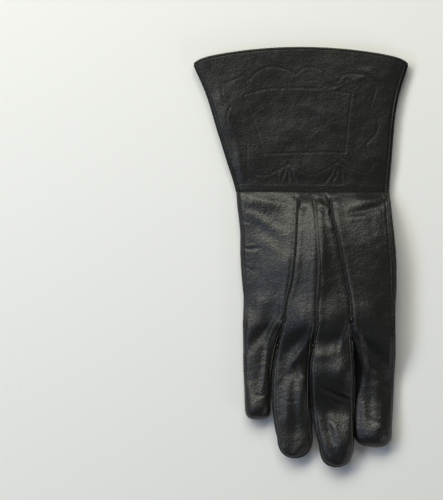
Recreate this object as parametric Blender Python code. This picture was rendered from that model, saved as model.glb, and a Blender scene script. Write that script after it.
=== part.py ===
"""A right-hand leather gauntlet that lies palm down, with its thumb folded under the palm.

Metres, +Z up. The fingers point to -Y, the cuff's mouth to +Y and the thumb's side is +X.
The glove's outer skin is laid out first, as one welded surface. Each leather panel is then cut
from that skin and given its wall, so that neighbouring panels meet edge to edge at their seams.
"""

import math
from typing import NamedTuple

import bmesh
import bpy
from mathutils import Matrix, Vector

MM = 0.001

# Driving dimensions
LEATHER = 1.2 * MM
SEAM_GAP = 0.3 * MM
HAND_WIDTH = 113.5 * MM
HAND_DEPTH = 13 * MM
PALM_LENGTH = 97 * MM
FINGER_LENGTH = 109.5 * MM
SIDE_ROOT_DROP = 6 * MM
CUFF_LENGTH = 105.5 * MM
CUFF_DEPTH = 10.5 * MM
FLARE_LITTLE_SIDE = 31.5 * MM
FLARE_THUMB_SIDE = 13.5 * MM
MOUTH_ARC_RISE = 9 * MM
MOUTH_CORNER_DROP = 2.5 * MM
BINDING_RADIUS = 1.1 * MM
POINT_HEIGHT = 1.5 * MM
FOURCHETTE_INSET = 4.5 * MM
FOURCHETTE_SWELL = 0.6 * MM
GAP_END_WIDTH = 1.6 * MM
THUMB_LIFT = 11.5 * MM
THUMB_CLEARANCE = 1.2 * MM
THUMB_DEPTH = THUMB_LIFT - THUMB_CLEARANCE
THUMB_REACH = 117.5 * MM
THUMB_HOLE_WIDTH = 50 * MM
THUMB_HOLE_LENGTH = 58 * MM
THUMB_HOLE_ACROSS = 23.5 * MM
THUMB_HOLE_DOWN = 18 * MM
THUMB_HOLE_MIDDLE = THUMB_HOLE_DOWN + THUMB_HOLE_LENGTH / 2

# Heights of the seams, as shares of the depth above the underside
SEAM_HEIGHT = 0.48
FORK_TOP = 0.72
FORK_BOTTOM = 0.2
FORK_END = 0.07

# Below 1, these powers make a section squarer than an ellipse: at its sides, over its back and underneath
SIDE_POWER = 0.55
DOME_POWER = 0.8
UNDERSIDE_POWER = 0.6
UNDERSIDE_FULLNESS = 1.08

# The thumb lifts the palm from this share of HAND_WIDTH on, over the next, and over this share of the palm
LIFT_START = -0.44
LIFT_WIDTH = 0.4
LIFT_RAMP = 0.3

# Shares of the palm's length where the fingers' sections begin to part, and where the raised points begin
PARTING_START = 0.66
POINT_START = 0.05
POINT_RAMP = 0.1

# Moves a strand's columns away from its edges, so that they stay further apart than the leather is thick
OPENED_SPACING = 0.035

# Limits on how far a corner of a wall is stretched inwards, and an edge's corner drawn back
MOST_STRETCH = 1.4
LEAST_REACH = 0.6

# Faces across one finger's strand, and rows along each zone
STRAND_FACES = 6
CUFF_ROWS = 7
FINGER_ROWS = 8
TIP_ROWS = 3
FORK_FACES = 2
GAP_END_ROWS = 3
THUMB_SIDES = 18

# How far along the palm each row of the hand lies, finer at the wrist's gathers
HAND_ROWS = (0.045, 0.1, 0.17, 0.26, 0.36, 0.46, 0.56, 0.66, 0.75, 0.84, 0.92, 1.0)


class Station(NamedTuple):
    """A section of the glove's body, from the cuff's mouth (1) by the wrist (0) to the finger roots (-1)."""

    along: float
    left: float
    right: float
    flare_left: float
    flare_right: float
    fill: float
    seam_left: float
    seam_right: float


# left and right are shares of HAND_WIDTH, the flares of the two flare sizes, fill goes from the
# cuff's depth to the hand's, and the seams are degrees above the section's widest points.
STATIONS = (
    Station(1.00, -0.545, 0.466, 1.00, 1.00, 0.25, 8, 9),
    Station(0.75, -0.545, 0.466, 0.68, 0.49, 0.10, 8, 12),
    Station(0.50, -0.545, 0.466, 0.455, 0.23, 0.00, 8, 13),
    Station(0.25, -0.545, 0.466, 0.225, 0.11, -0.10, 8, 15),
    Station(0.00, -0.545, 0.466, 0.00, 0.00, -0.20, 9, 19),
    Station(-0.12, -0.536, 0.474, 0.00, 0.00, 1.05, 11, 22),
    Station(-0.30, -0.517, 0.490, 0.00, 0.00, 1.20, 13, 25),
    Station(-0.50, -0.514, 0.506, 0.00, 0.00, 1.00, 13, 26),
    Station(-0.70, -0.502, 0.506, 0.00, 0.00, 1.00, 13, 24),
    Station(-0.87, -0.496, 0.509, 0.00, 0.00, 1.00, 14, 22),
    Station(-1.00, -0.499, 0.500, 0.00, 0.00, 1.00, 16, 22),
)


class Points(NamedTuple):
    """Where the three raised points run on the back, as shares of HAND_WIDTH."""

    along: float
    little_ring: float
    ring_middle: float
    middle_index: float


POINT_LINES = (
    Points(0.00, -0.149, -0.030, 0.074),
    Points(-0.12, -0.149, -0.027, 0.079),
    Points(-0.30, -0.155, -0.015, 0.108),
    Points(-0.50, -0.167, -0.007, 0.142),
    Points(-0.70, -0.186, -0.007, 0.176),
    Points(-0.87, -0.207, -0.016, 0.201),
    Points(-1.00, -0.233, -0.018, 0.208),
)


class Finger(NamedTuple):
    """A finger: its edges half way and where the tip begins, as shares of HAND_WIDTH from the axis.

    reach and tip are shares of FINGER_LENGTH. The finger stays lifted by the thumb up to lift_hold,
    and lies on the ground from lift_end, as shares of its straight part.
    """

    name: str
    mid_left: float
    mid_right: float
    tip_left: float
    tip_right: float
    reach: float
    tip: float
    lift_hold: float
    lift_end: float


FINGERS = (
    Finger("little", -0.495, -0.3075, -0.486, -0.321, 0.672, 0.105, 0.00, 0.50),
    Finger("ring", -0.2975, -0.0620, -0.274, -0.041, 0.938, 0.140, 0.15, 0.80),
    Finger("middle", -0.0510, 0.2210, 0.000, 0.228, 1.000, 0.155, 0.40, 0.88),
    Finger("index", 0.2480, 0.4955, 0.261, 0.476, 0.865, 0.130, 0.22, 0.75),
)
MID_SHARE = 0.45
LAST = len(FINGERS) - 1

# How much further down the palm's side each gap between two fingers starts, as shares of FINGER_LENGTH
PALM_GAP_DROPS = (0.11, 0.15, 0.17)


class Form(NamedTuple):
    """How full a finger is along its straight part: root, knuckle, middle joint and tip."""

    along: float
    crown: float


FINGER_FORM = (
    Form(0.00, 0.97),
    Form(0.12, 0.92),
    Form(0.30, 1.02),
    Form(0.45, 1.07),
    Form(0.65, 0.97),
    Form(0.85, 1.02),
    Form(1.00, 0.98),
)


class Fold(NamedTuple):
    """A swelling or, with a negative height, a crease of the back's leather.

    across is a share of HAND_WIDTH, down of PALM_LENGTH from the wrist, length and width of
    HAND_WIDTH, turn is in degrees from across, and height a share of HAND_DEPTH.
    """

    across: float
    down: float
    length: float
    width: float
    turn: float
    height: float


FOLDS = (
    Fold(0.270, 0.060, 0.150, 0.040, 0, 0.12),
    Fold(-0.060, 0.075, 0.050, 0.045, 0, 0.09),
    Fold(-0.360, 0.080, 0.140, 0.050, -14, 0.08),
    Fold(0.105, 0.110, 0.035, 0.070, 20, -0.10),
    Fold(-0.210, 0.140, 0.120, 0.035, -35, -0.07),
    Fold(-0.430, 0.380, 0.080, 0.030, -5, -0.08),
    Fold(0.350, 0.550, 0.160, 0.060, -35, 0.06),
    Fold(-0.340, 1.080, 0.120, 0.035, 45, -0.12),
    Fold(-0.140, 1.190, 0.130, 0.040, 48, -0.13),
    Fold(0.150, 1.090, 0.100, 0.035, 15, -0.11),
    Fold(0.330, 1.120, 0.120, 0.040, -45, -0.12),
)


class ThumbRing(NamedTuple):
    """A section of the thumb, which swings from flat in the palm's hole to upright along the thumb.

    lower_down and upper_down are shares of THUMB_REACH from the hole's wrist side, the heights
    of THUMB_DEPTH, and left and right of THUMB_HOLE_WIDTH from the hole's middle.
    """

    lower_down: float
    upper_down: float
    lower_height: float
    upper_height: float
    left: float
    right: float


THUMB_RINGS = (
    ThumbRing(0.050, 0.508, 0.42, 1.00, -0.505, 0.535),
    ThumbRing(0.150, 0.526, 0.10, 0.99, -0.495, 0.555),
    ThumbRing(0.300, 0.550, 0.00, 0.98, -0.500, 0.560),
    ThumbRing(0.460, 0.590, 0.00, 0.98, -0.540, 0.490),
    ThumbRing(0.600, 0.650, 0.00, 1.00, -0.610, 0.360),
    ThumbRing(0.740, 0.745, 0.00, 0.98, -0.670, 0.200),
    ThumbRing(0.855, 0.855, 0.02, 0.93, -0.690, 0.090),
    ThumbRing(0.930, 0.930, 0.09, 0.85, -0.650, -0.020),
    ThumbRing(0.977, 0.977, 0.22, 0.74, -0.540, -0.120),
    ThumbRing(1.000, 1.000, 0.38, 0.60, -0.400, -0.250),
)

BACK, PALM = "back", "palm"

LEATHER_COLOURS = {
    "hand_back": (0.021, 0.021, 0.019),
    "hand_palm": (0.019, 0.019, 0.018),
    "thumb": (0.020, 0.020, 0.018),
    "fourchette": (0.015, 0.016, 0.017),
    "cuff": (0.023, 0.023, 0.022),
    "mouth_binding": (0.017, 0.017, 0.017),
}
LEATHER_ROUGHNESS = 0.42


def mix(first, second, share):
    """The value at this share of the way from the first to the second."""
    return first + (second - first) * share


def ease(share):
    """0 up to 0, 1 from 1, and a smooth step between."""
    share = min(1.0, max(0.0, share))
    return share * share * (3 - 2 * share)


def follow(table, along, column):
    """The column's value at this place along the table, on a smooth curve through its rows."""
    rows = sorted(table, key=lambda row: row.along)
    places = [row.along for row in rows]
    values = [getattr(row, column) for row in rows]
    along = min(places[-1], max(places[0], along))
    i = next(k for k in range(len(rows) - 1) if along <= places[k + 1])
    step = places[i + 1] - places[i]
    slopes = [(values[k + 1] - values[k]) / (places[k + 1] - places[k]) for k in range(len(rows) - 1)]
    start = slopes[i] if i == 0 else (slopes[i - 1] + slopes[i]) / 2
    end = slopes[i] if i == len(slopes) - 1 else (slopes[i] + slopes[i + 1]) / 2
    t = (along - places[i]) / step
    return (
        (2 * t**3 - 3 * t**2 + 1) * values[i]
        + (t**3 - 2 * t**2 + t) * step * start
        + (3 * t**2 - 2 * t**3) * values[i + 1]
        + (t**3 - t**2) * step * end
    )


def through(root, middle, end, share):
    """A smooth curve through three values, at the shares 0, MID_SHARE and 1."""
    first = (middle - root) / MID_SHARE
    second = (end - middle) / (1 - MID_SHARE)
    return root + first * share + (second - first) * share * (share - MID_SHARE)


def domed(rise):
    """The height of the back over a section, where rise is the sine of the angle round it."""
    return abs(rise) ** DOME_POWER


def flattened(rise):
    """The depth of the underside, which is flat over its middle where it rests."""
    return min(1.0, UNDERSIDE_FULLNESS * abs(rise) ** UNDERSIDE_POWER)


def squared(across):
    """The place across the body at this cosine. The power keeps the two sides round and the middle flat."""
    return math.copysign(abs(across) ** SIDE_POWER, across)


def thumb_lift(x, along):
    """How high the folded thumb carries the palm's underside."""
    from_little_side = ease((x / HAND_WIDTH - LIFT_START) / LIFT_WIDTH)
    from_wrist = ease(-along / LIFT_RAMP)
    return THUMB_LIFT * from_little_side * from_wrist


def folds_at(x, y):
    """The height that the creases and swellings add to the back at this place."""
    total = 0.0
    for fold in FOLDS:
        dx = x - fold.across * HAND_WIDTH
        dy = y + fold.down * PALM_LENGTH
        turn = math.radians(fold.turn)
        lengthwise = (dx * math.cos(turn) + dy * math.sin(turn)) / (fold.length * HAND_WIDTH)
        crosswise = (dy * math.cos(turn) - dx * math.sin(turn)) / (fold.width * HAND_WIDTH)
        total += fold.height * HAND_DEPTH * math.exp(-(lengthwise**2) - crosswise**2)
    return total


class Section(NamedTuple):
    """The body's section at one station."""

    left: float
    right: float
    depth: float
    seam_left: float
    seam_right: float


def body_section(along):
    """The cuff's or hand's edges, depth and seam angles at a station."""
    left = follow(STATIONS, along, "left") * HAND_WIDTH
    right = follow(STATIONS, along, "right") * HAND_WIDTH
    left -= follow(STATIONS, along, "flare_left") * FLARE_LITTLE_SIDE
    right += follow(STATIONS, along, "flare_right") * FLARE_THUMB_SIDE
    depth = mix(CUFF_DEPTH, HAND_DEPTH, follow(STATIONS, along, "fill"))
    seam_left = math.radians(follow(STATIONS, along, "seam_left"))
    seam_right = math.radians(follow(STATIONS, along, "seam_right"))
    return Section(left, right, depth, seam_left, seam_right)


def point_line(gap, along):
    """X of the raised point that runs to the gap after this finger."""
    return follow(POINT_LINES, along, Points._fields[gap + 1]) * HAND_WIDTH


def strand_angle(face, along, finger, share):
    """The angle round the body's section of a place on a finger's strand. It is 0 at the little side."""
    section = body_section(along)
    centre = (section.left + section.right) / 2
    half = (section.right - section.left) / 2
    up = 1 if face == BACK else -1
    wrist = body_section(0)
    wrist_centre = (wrist.left + wrist.right) / 2
    wrist_half = (wrist.right - wrist.left) / 2

    def boundary(gap):
        if gap < 0:
            return up * section.seam_left
        if gap == LAST:
            return math.pi - up * section.seam_right
        if along > 0:
            across = (wrist_centre - point_line(gap, 0)) / wrist_half
        else:
            across = (centre - point_line(gap, along)) / half
        return math.acos(math.copysign(abs(across) ** (1 / SIDE_POWER), across))

    spread = (1 - math.cos(math.pi * share)) / 2
    return mix(boundary(finger - 1), boundary(finger), spread)


def root_distance(face, finger, share):
    """How far below the wrist a strand's finger starts. It is further down at the sides and on the palm."""

    def drop(gap):
        if gap < 0 or gap == LAST:
            return SIDE_ROOT_DROP
        return 0.0 if face == BACK else PALM_GAP_DROPS[gap] * FINGER_LENGTH

    return PALM_LENGTH + mix(drop(finger - 1), drop(finger), share)


def body_point(face, along, angle, root):
    """A point of the cuff or the hand."""
    section = body_section(along)
    across = -squared(math.cos(angle))
    x = mix(section.left, section.right, (across + 1) / 2)
    if along > 0:
        y = along * (CUFF_LENGTH - MOUTH_ARC_RISE * across**2 - MOUTH_CORNER_DROP * across**16)
    else:
        y = along * root
    rise = math.sin(angle)
    seam = SEAM_HEIGHT * section.depth
    if face == BACK or rise < 0:
        height = seam + (section.depth - seam) * domed(rise)
    else:
        height = seam * (1 - flattened(rise))
    return x, y, thumb_lift(x, along) + height


def finger_edges(finger, v):
    """X of both edges of a finger at a share of its straight part."""
    row = FINGERS[finger]
    root = body_section(-1)
    left = root.left if finger == 0 else point_line(finger - 1, -1)
    right = root.right if finger == LAST else point_line(finger, -1)
    return (
        through(left, row.mid_left * HAND_WIDTH, row.tip_left * HAND_WIDTH, v),
        through(right, row.mid_right * HAND_WIDTH, row.tip_right * HAND_WIDTH, v),
    )


def finger_lift(finger, x, v):
    """How high the thumb carries a finger's underside."""
    row = FINGERS[finger]
    return thumb_lift(x, -1) * (1 - ease((v - row.lift_hold) / (row.lift_end - row.lift_hold)))


def finger_point(face, finger, v, share, root):
    """A point of a finger's straight part."""
    row = FINGERS[finger]
    left, right = finger_edges(finger, v)
    centre = (left + right) / 2
    narrowing = ease((v - 0.5) / 0.5)
    inset = FOURCHETTE_INSET * ease(v / 0.25) * (1 - narrowing)
    fork_top = mix(FORK_TOP, SEAM_HEIGHT + FORK_END, narrowing)
    fork_bottom = mix(FORK_BOTTOM, SEAM_HEIGHT - FORK_END, narrowing)
    section = body_section(-1)
    outer_left = finger == 0
    outer_right = finger == LAST
    up = 1 if face == BACK else -1
    fade = 1 - ease(v)
    start = up * section.seam_left * fade if outer_left else 0.0
    end = math.pi - (up * section.seam_right * fade if outer_right else 0.0)
    angle = mix(start, end, share)
    rise = math.sin(angle)
    on_left = math.cos(angle) > 0
    at_seam = outer_left if on_left else outer_right
    edge = left if on_left else right
    if face == PALM and not at_seam:
        edge += inset if on_left else -inset
    x = centre - abs(centre - edge) * math.cos(angle)
    crown = follow(FINGER_FORM, v, "crown")
    if face == BACK or rise < 0:
        rim = SEAM_HEIGHT if at_seam else fork_top
        height = mix(rim, crown, domed(rise))
    else:
        rim = SEAM_HEIGHT if at_seam else fork_bottom
        height = rim * (1 - flattened(rise))
    straight = PALM_LENGTH + (row.reach - row.tip) * FINGER_LENGTH
    y = -mix(root, straight, v)
    return x, y, finger_lift(finger, x, v) + height * HAND_DEPTH


def fingertip_point(face, finger, share, step):
    """A point of the round end of a finger: a square of faces pressed into half a disc."""
    row = FINGERS[finger]
    left, right = finger_edges(finger, 1)
    across = -math.cos(math.pi * share)
    onward = math.sin(math.pi / 2 * step)
    disc_x = across * math.sqrt(1 - onward**2 / 2)
    disc_y = onward * math.sqrt(1 - across**2 / 2)
    inward = math.sqrt(max(0.0, 1 - disc_x**2 - disc_y**2))
    x = mix(left, right, (disc_x + 1) / 2)
    y = -PALM_LENGTH - (row.reach - row.tip + row.tip * disc_y) * FINGER_LENGTH
    if face == BACK:
        height = mix(SEAM_HEIGHT, follow(FINGER_FORM, 1, "crown"), domed(inward))
    else:
        height = SEAM_HEIGHT * (1 - flattened(inward))
    return x, y, height * HAND_DEPTH


def fold_share(finger, share, parting):
    """How much of the folds a strand takes: none at its seams, and in the hand all but at the sides."""
    in_hand = 1.0
    if finger == 0:
        in_hand = ease(2 * share)
    if finger == LAST:
        in_hand = ease(2 - 2 * share)
    return mix(in_hand, math.sin(math.pi * share), parting)


HAND_END = CUFF_ROWS + len(HAND_ROWS)
STRAIGHT_END = HAND_END + FINGER_ROWS
STRAND_END = STRAIGHT_END + TIP_ROWS


def strand_point(face, finger, column, row):
    """The corner of a strand's faces in a column, and in a row counted from the cuff's mouth."""
    share = column / STRAND_FACES
    share += OPENED_SPACING * math.sin(2 * math.pi * share)
    root = root_distance(face, finger, share)
    gap_side = (column == 0 and finger > 0) - (column == STRAND_FACES and finger < LAST)
    if row <= HAND_END:
        if row <= CUFF_ROWS:
            along = 1 - row / CUFF_ROWS
        else:
            along = -HAND_ROWS[row - CUFF_ROWS - 1]
        angle = strand_angle(face, along, finger, share)
        x, y, z = body_point(face, along, angle, root)
        parting = ease((-along - PARTING_START) / (1 - PARTING_START))
        if parting > 0:
            finger_x, _, finger_z = finger_point(face, finger, 0, share, root)
            x = mix(x, finger_x, parting)
            z = mix(z, finger_z, parting)
        if face == BACK and gap_side:
            z += POINT_HEIGHT * ease((-along - POINT_START) / POINT_RAMP) * ease((1 + along) / POINT_RAMP)
    elif row <= STRAIGHT_END:
        parting = 1.0
        x, y, z = finger_point(face, finger, (row - HAND_END) / FINGER_ROWS, share, root)
    else:
        x, y, z = fingertip_point(face, finger, share, (row - STRAIGHT_END) / TIP_ROWS)
    if row >= HAND_END:
        x += gap_side * GAP_END_WIDTH / 2 * (1 - ease((row - HAND_END) / GAP_END_ROWS))
    if face == BACK and CUFF_ROWS < row <= STRAIGHT_END:
        z += folds_at(x, y) * fold_share(finger, share, parting)
    return Vector((x, y, z))


def fork_point(gap, column, row):
    """A corner of the fourchette in a gap: columns run from one finger's end by the root to the other's."""
    arm = FINGER_ROWS + 1
    on_left = column <= arm
    steps = arm - column if on_left else column - arm - 1
    finger, edge = (gap, STRAND_FACES) if on_left else (gap + 1, 0)
    back = strand_point(BACK, finger, edge, HAND_END + steps)
    palm = strand_point(PALM, finger, edge, HAND_END + steps)
    share = row / FORK_FACES
    swell = FOURCHETTE_SWELL * math.sin(math.pi * share) * math.sin(math.pi * steps / arm)
    point = back.lerp(palm, share)
    point.x += swell if on_left else -swell
    return point


def close_gap_end(skin, face, gap):
    """Adds the small face between a raised point's end and the blunt end of the gap below it."""
    corners = [
        strand_point(face, gap, STRAND_FACES, HAND_END - 1),
        strand_point(face, gap, STRAND_FACES, HAND_END),
        strand_point(face, gap + 1, 0, HAND_END),
    ]
    added = skin.faces.new([skin.verts.new(corner) for corner in corners])
    added[skin.faces.layers.int["panel"]] = PANELS.index(f"hand_{face}")


def add_sheet(bm, columns, rows, place, name_of_row):
    """Lays a grid of faces in the skin, each corner where place says, and marks its faces with a panel."""
    panel = bm.faces.layers.int["panel"]
    before = set(bm.verts)
    bmesh.ops.create_grid(bm, x_segments=columns, y_segments=rows, size=0.5)
    corners = [vert for vert in bm.verts if vert not in before]
    faces = {face for vert in corners for face in vert.link_faces}
    for face in faces:
        middle = face.calc_center_median()
        face[panel] = PANELS.index(name_of_row(int((middle.y + 0.5) * rows)))
    for vert in corners:
        column = round((vert.co.x + 0.5) * columns)
        row = round((vert.co.y + 0.5) * rows)
        vert.co = place(column, row)


def fork_name(gap):
    """The name of the fourchette in the gap after this finger."""
    return f"fourchette_{FINGERS[gap].name}_{FINGERS[gap + 1].name}"


PANELS = ["hand_back", "hand_palm", "cuff_back", "cuff_palm"]
PANELS += [fork_name(gap) for gap in range(LAST)]


def glove_skin():
    """The welded outer skin of cuff, hand and fingers, with the way into the leather kept on each vertex."""
    skin = bmesh.new()
    skin.faces.layers.int.new("panel")
    for face in (BACK, PALM):
        for finger in range(len(FINGERS)):
            add_sheet(
                skin,
                STRAND_FACES,
                STRAND_END,
                lambda column, row: strand_point(face, finger, column, row),
                lambda row: f"cuff_{face}" if row < CUFF_ROWS else f"hand_{face}",
            )
    for gap in range(LAST):
        close_gap_end(skin, BACK, gap)
        close_gap_end(skin, PALM, gap)
        add_sheet(
            skin,
            2 * (FINGER_ROWS + 1) + 1,
            FORK_FACES,
            lambda column, row: fork_point(gap, column, row),
            lambda row: fork_name(gap),
        )
    bmesh.ops.remove_doubles(skin, verts=skin.verts[:], dist=0.01 * MM)
    keep_inward(skin)
    return skin


def keep_inward(bm):
    """Recalculates the normals and keeps, on each vertex, the step through the leather's thickness."""
    bmesh.ops.recalc_face_normals(bm, faces=bm.faces[:])
    bm.normal_update()
    inward = bm.verts.layers.float_vector.new("inward")
    for vert in bm.verts:
        vert[inward] = vert.normal * -LEATHER * min(MOST_STRETCH, vert.calc_shell_factor())


def open_gap(bm, distance):
    """Draws the open edges of a panel back by a distance, along the panel."""
    inward = bm.verts.layers.float_vector["inward"]
    steps = {}
    for vert in bm.verts:
        if not vert.is_boundary:
            continue
        inner = [edge.other_vert(vert).co - vert.co for edge in vert.link_edges if not edge.is_boundary]
        if not inner:
            inner = [vert.link_faces[0].calc_center_median() - vert.co]
        pull = sum((way.normalized() for way in inner), Vector())
        through_wall = vert[inward].normalized()
        pull -= through_wall * pull.dot(through_wall)
        pull.normalize()
        runs = [edge.other_vert(vert).co - vert.co for edge in vert.link_edges if edge.is_boundary]
        reach = min(abs(pull.cross(run.normalized()).length) for run in runs)
        steps[vert] = pull * (distance / max(LEAST_REACH, reach))
    for vert, step in steps.items():
        vert.co += step


def add_wall(bm):
    """Gives an open surface its leather: a copy on the inner side, joined round every open edge."""
    outer = set(bm.verts)
    geometry = bm.verts[:] + bm.edges[:] + bm.faces[:]
    bmesh.ops.extrude_face_region(bm, geom=geometry, use_keep_orig=True)
    inward = bm.verts.layers.float_vector["inward"]
    for vert in bm.verts:
        if vert not in outer:
            vert.co += vert[inward]
    # The two panels at a seam have like rims, and parting both the same way keeps their gap even.
    rim = [face for face in bm.faces if 0 < sum(vert in outer for vert in face.verts) < len(face.verts)]
    for face in rim:
        high, low = sorted((v for v in face.verts if v in outer), key=lambda v: v.co.y + v.co.x / 3)
        across_from_low = next(v for v in face.verts if v not in outer and is_beside(v, high))
        bmesh.utils.face_split(face, low, across_from_low)
    bmesh.ops.recalc_face_normals(bm, faces=bm.faces[:])


def is_beside(first, second):
    """Whether an edge joins two vertices."""
    return any(edge.other_vert(first) is second for edge in first.link_edges)


def leather(name):
    """The material of one panel."""
    colour = next(value for key, value in LEATHER_COLOURS.items() if name.startswith(key))
    material = bpy.data.materials.new(f"{name}_leather")
    material.use_nodes = True
    shader = material.node_tree.nodes["Principled BSDF"]
    shader.inputs["Base Color"].default_value = (*colour, 1)
    shader.inputs["Roughness"].default_value = LEATHER_ROUGHNESS
    shader.inputs["Metallic"].default_value = 0
    return material


def add_object(name, bm, collection):
    """Turns a bmesh into an object of the collection, shaded smooth with its seam edges sharp."""
    mesh = bpy.data.meshes.new(name)
    bm.to_mesh(mesh)
    bm.free()
    mesh.shade_smooth()
    mesh.set_sharp_from_angle(angle=math.radians(50))
    obj = bpy.data.objects.new(name, mesh)
    mesh.materials.append(leather(name))
    collection.objects.link(obj)
    return obj


def make_panel(skin, name, collection):
    """Cuts one panel from the skin and gives it its wall."""
    bm = skin.copy()
    panel = bm.faces.layers.int["panel"]
    others = [face for face in bm.faces if face[panel] != PANELS.index(name)]
    bmesh.ops.delete(bm, geom=others, context="FACES")
    open_gap(bm, SEAM_GAP / 2)
    add_wall(bm)
    return add_object(name, bm, collection)


def hole_point(angle, clearance):
    """X and Y on the rim of the thumb's hole, drawn in by a clearance."""
    x = THUMB_HOLE_ACROSS + (THUMB_HOLE_WIDTH / 2 - clearance) * math.cos(angle)
    y = -THUMB_HOLE_MIDDLE + (THUMB_HOLE_LENGTH / 2 - clearance) * math.sin(angle)
    return x, y


def palm_height(x, y):
    """The height of the palm's underside over a place on the ground."""
    along = max(-1.0, y / PALM_LENGTH)
    section = body_section(along)
    across = mix(1, -1, (x - section.left) / (section.right - section.left))
    angle = math.acos(math.copysign(min(1.0, abs(across)) ** (1 / SIDE_POWER), across))
    return body_point(PALM, along, angle, PALM_LENGTH)[2]


def thumb_point(ring, side):
    """A corner of the thumb's skin. The first two rings stand in the palm's hole."""
    angle = 2 * math.pi * side / THUMB_SIDES
    if ring < 2:
        x, y = hole_point(angle, SEAM_GAP)
        z = palm_height(x, y)
        return Vector((x, y, z + LEATHER if ring == 0 else z - SEAM_GAP))
    row = THUMB_RINGS[ring - 2]
    x = THUMB_HOLE_ACROSS + mix(row.left, row.right, (math.cos(angle) + 1) / 2) * THUMB_HOLE_WIDTH
    # The wrist side of the hole becomes the thumb's lower side.
    rise = -math.sin(angle)
    level = flattened(rise) if rise < 0 else domed(rise)
    share = (math.copysign(level, rise) + 1) / 2
    y = -THUMB_HOLE_DOWN - mix(row.lower_down, row.upper_down, share) * THUMB_REACH
    z = mix(row.lower_height, row.upper_height, share) * THUMB_DEPTH
    return Vector((x, y, z))


def make_thumb(collection):
    """The thumb: rings swung from the palm's hole down onto the ground and along it, closed at the tip."""
    bm = bmesh.new()
    rings = len(THUMB_RINGS) + 2
    bmesh.ops.create_grid(bm, x_segments=THUMB_SIDES, y_segments=rings - 1, size=0.5)
    for vert in bm.verts:
        side = round((vert.co.x + 0.5) * THUMB_SIDES)
        ring = round((vert.co.y + 0.5) * (rings - 1))
        vert.co = thumb_point(ring, side)
    bmesh.ops.remove_doubles(bm, verts=bm.verts[:], dist=0.01 * MM)
    tip_y = thumb_point(rings - 1, 0).y
    tip_edges = [e for e in bm.edges if e.is_boundary and max(abs(v.co.y - tip_y) for v in e.verts) < MM]
    bmesh.ops.contextual_create(bm, geom=tip_edges)
    keep_inward(bm)
    add_wall(bm)
    return add_object("thumb", bm, collection)


def cut_thumb_hole(palm, cutters):
    """Cuts the oval hole that the thumb is set into."""
    cutter_height = THUMB_LIFT + SEAM_HEIGHT * HAND_DEPTH
    bm = bmesh.new()
    bmesh.ops.create_cone(
        bm,
        cap_ends=True,
        segments=2 * THUMB_SIDES,
        radius1=0.5,
        radius2=0.5,
        depth=cutter_height,
    )
    size = Matrix.Diagonal((THUMB_HOLE_WIDTH, THUMB_HOLE_LENGTH, 1, 1))
    bmesh.ops.transform(bm, matrix=size, verts=bm.verts[:])
    mesh = bpy.data.meshes.new("thumb_hole_cutter")
    bm.to_mesh(mesh)
    bm.free()
    cutter = bpy.data.objects.new("thumb_hole_cutter", mesh)
    cutter.location = (THUMB_HOLE_ACROSS, -THUMB_HOLE_MIDDLE, cutter_height / 2)
    cutter.hide_render = True
    cutter.display_type = "WIRE"
    cutters.objects.link(cutter)
    cut = palm.modifiers.new("thumb_hole", "BOOLEAN")
    cut.operation = "DIFFERENCE"
    cut.solver = "EXACT"
    cut.object = cutter
    return cutter


def make_binding(skin, collection):
    """The rolled binding that runs round the cuff's mouth, against the edges of both cuff panels."""
    inward = skin.verts.layers.float_vector["inward"]
    edges = [edge for edge in skin.edges if edge.is_boundary]
    vert = edges[0].verts[0]
    path = []
    seen = set()
    while vert not in seen:
        seen.add(vert)
        centre = vert.co + vert[inward] / 2 + Vector((0, BINDING_RADIUS + SEAM_GAP / 2, 0))
        # Where the lower panel lies on the ground, so does the binding.
        centre.z = max(centre.z, BINDING_RADIUS)
        path.append(centre)
        nearby = [e.other_vert(vert) for e in vert.link_edges if e.is_boundary]
        vert = next((other for other in nearby if other not in seen), vert)
    curve = bpy.data.curves.new("mouth_binding", "CURVE")
    curve.dimensions = "3D"
    curve.bevel_depth = BINDING_RADIUS
    curve.bevel_resolution = 1
    curve.twist_mode = "MINIMUM"
    spline = curve.splines.new("POLY")
    spline.points.add(len(path) - 1)
    for point, place in zip(spline.points, path):
        point.co = (*place, 1)
    spline.use_cyclic_u = True
    curve.materials.append(leather("mouth_binding"))
    binding = bpy.data.objects.new("mouth_binding", curve)
    collection.objects.link(binding)
    return binding


def centre_of(objects):
    """The middle of the glove's outline on the ground, and the height of its lowest point."""
    bpy.context.view_layer.update()
    corners = [obj.matrix_world @ Vector(corner) for obj in objects for corner in obj.bound_box]
    low = [min(corner[axis] for corner in corners) for axis in range(3)]
    high = [max(corner[axis] for corner in corners) for axis in range(3)]
    return Vector(((low[0] + high[0]) / 2, (low[1] + high[1]) / 2, low[2]))


def new_collection(name):
    """A new collection in the scene."""
    collection = bpy.data.collections.new(name)
    bpy.context.scene.collection.children.link(collection)
    return collection


def main():
    for obj in list(bpy.data.objects):
        bpy.data.objects.remove(obj)
    glove = new_collection("leather_gauntlet")
    cutters = new_collection("cutters")
    skin = glove_skin()
    panels = {name: make_panel(skin, name, glove) for name in PANELS}
    cutter = cut_thumb_hole(panels["hand_palm"], cutters)
    thumb = make_thumb(glove)
    binding = make_binding(skin, glove)
    skin.free()
    pieces = [*panels.values(), thumb, binding]
    stand = bpy.data.objects.new("glove_centre", None)
    glove.objects.link(stand)
    stand.location = -centre_of(pieces)
    for obj in [*pieces, cutter]:
        obj.parent = stand


main()
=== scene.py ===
"""The looks of a right-hand leather gauntlet that lies palm down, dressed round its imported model.

Metres, +Z up. The fingers point to -Y, the cuff's mouth to +Y and the thumb's side is +X.
The glove's skin is laid out finely, each leather panel is cut from it, given its creases, rolls
and stitches, and then its thickness.
"""

import logging
import math
from dataclasses import dataclass, field
from enum import Enum
from typing import Callable, Iterable, Sequence

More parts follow.
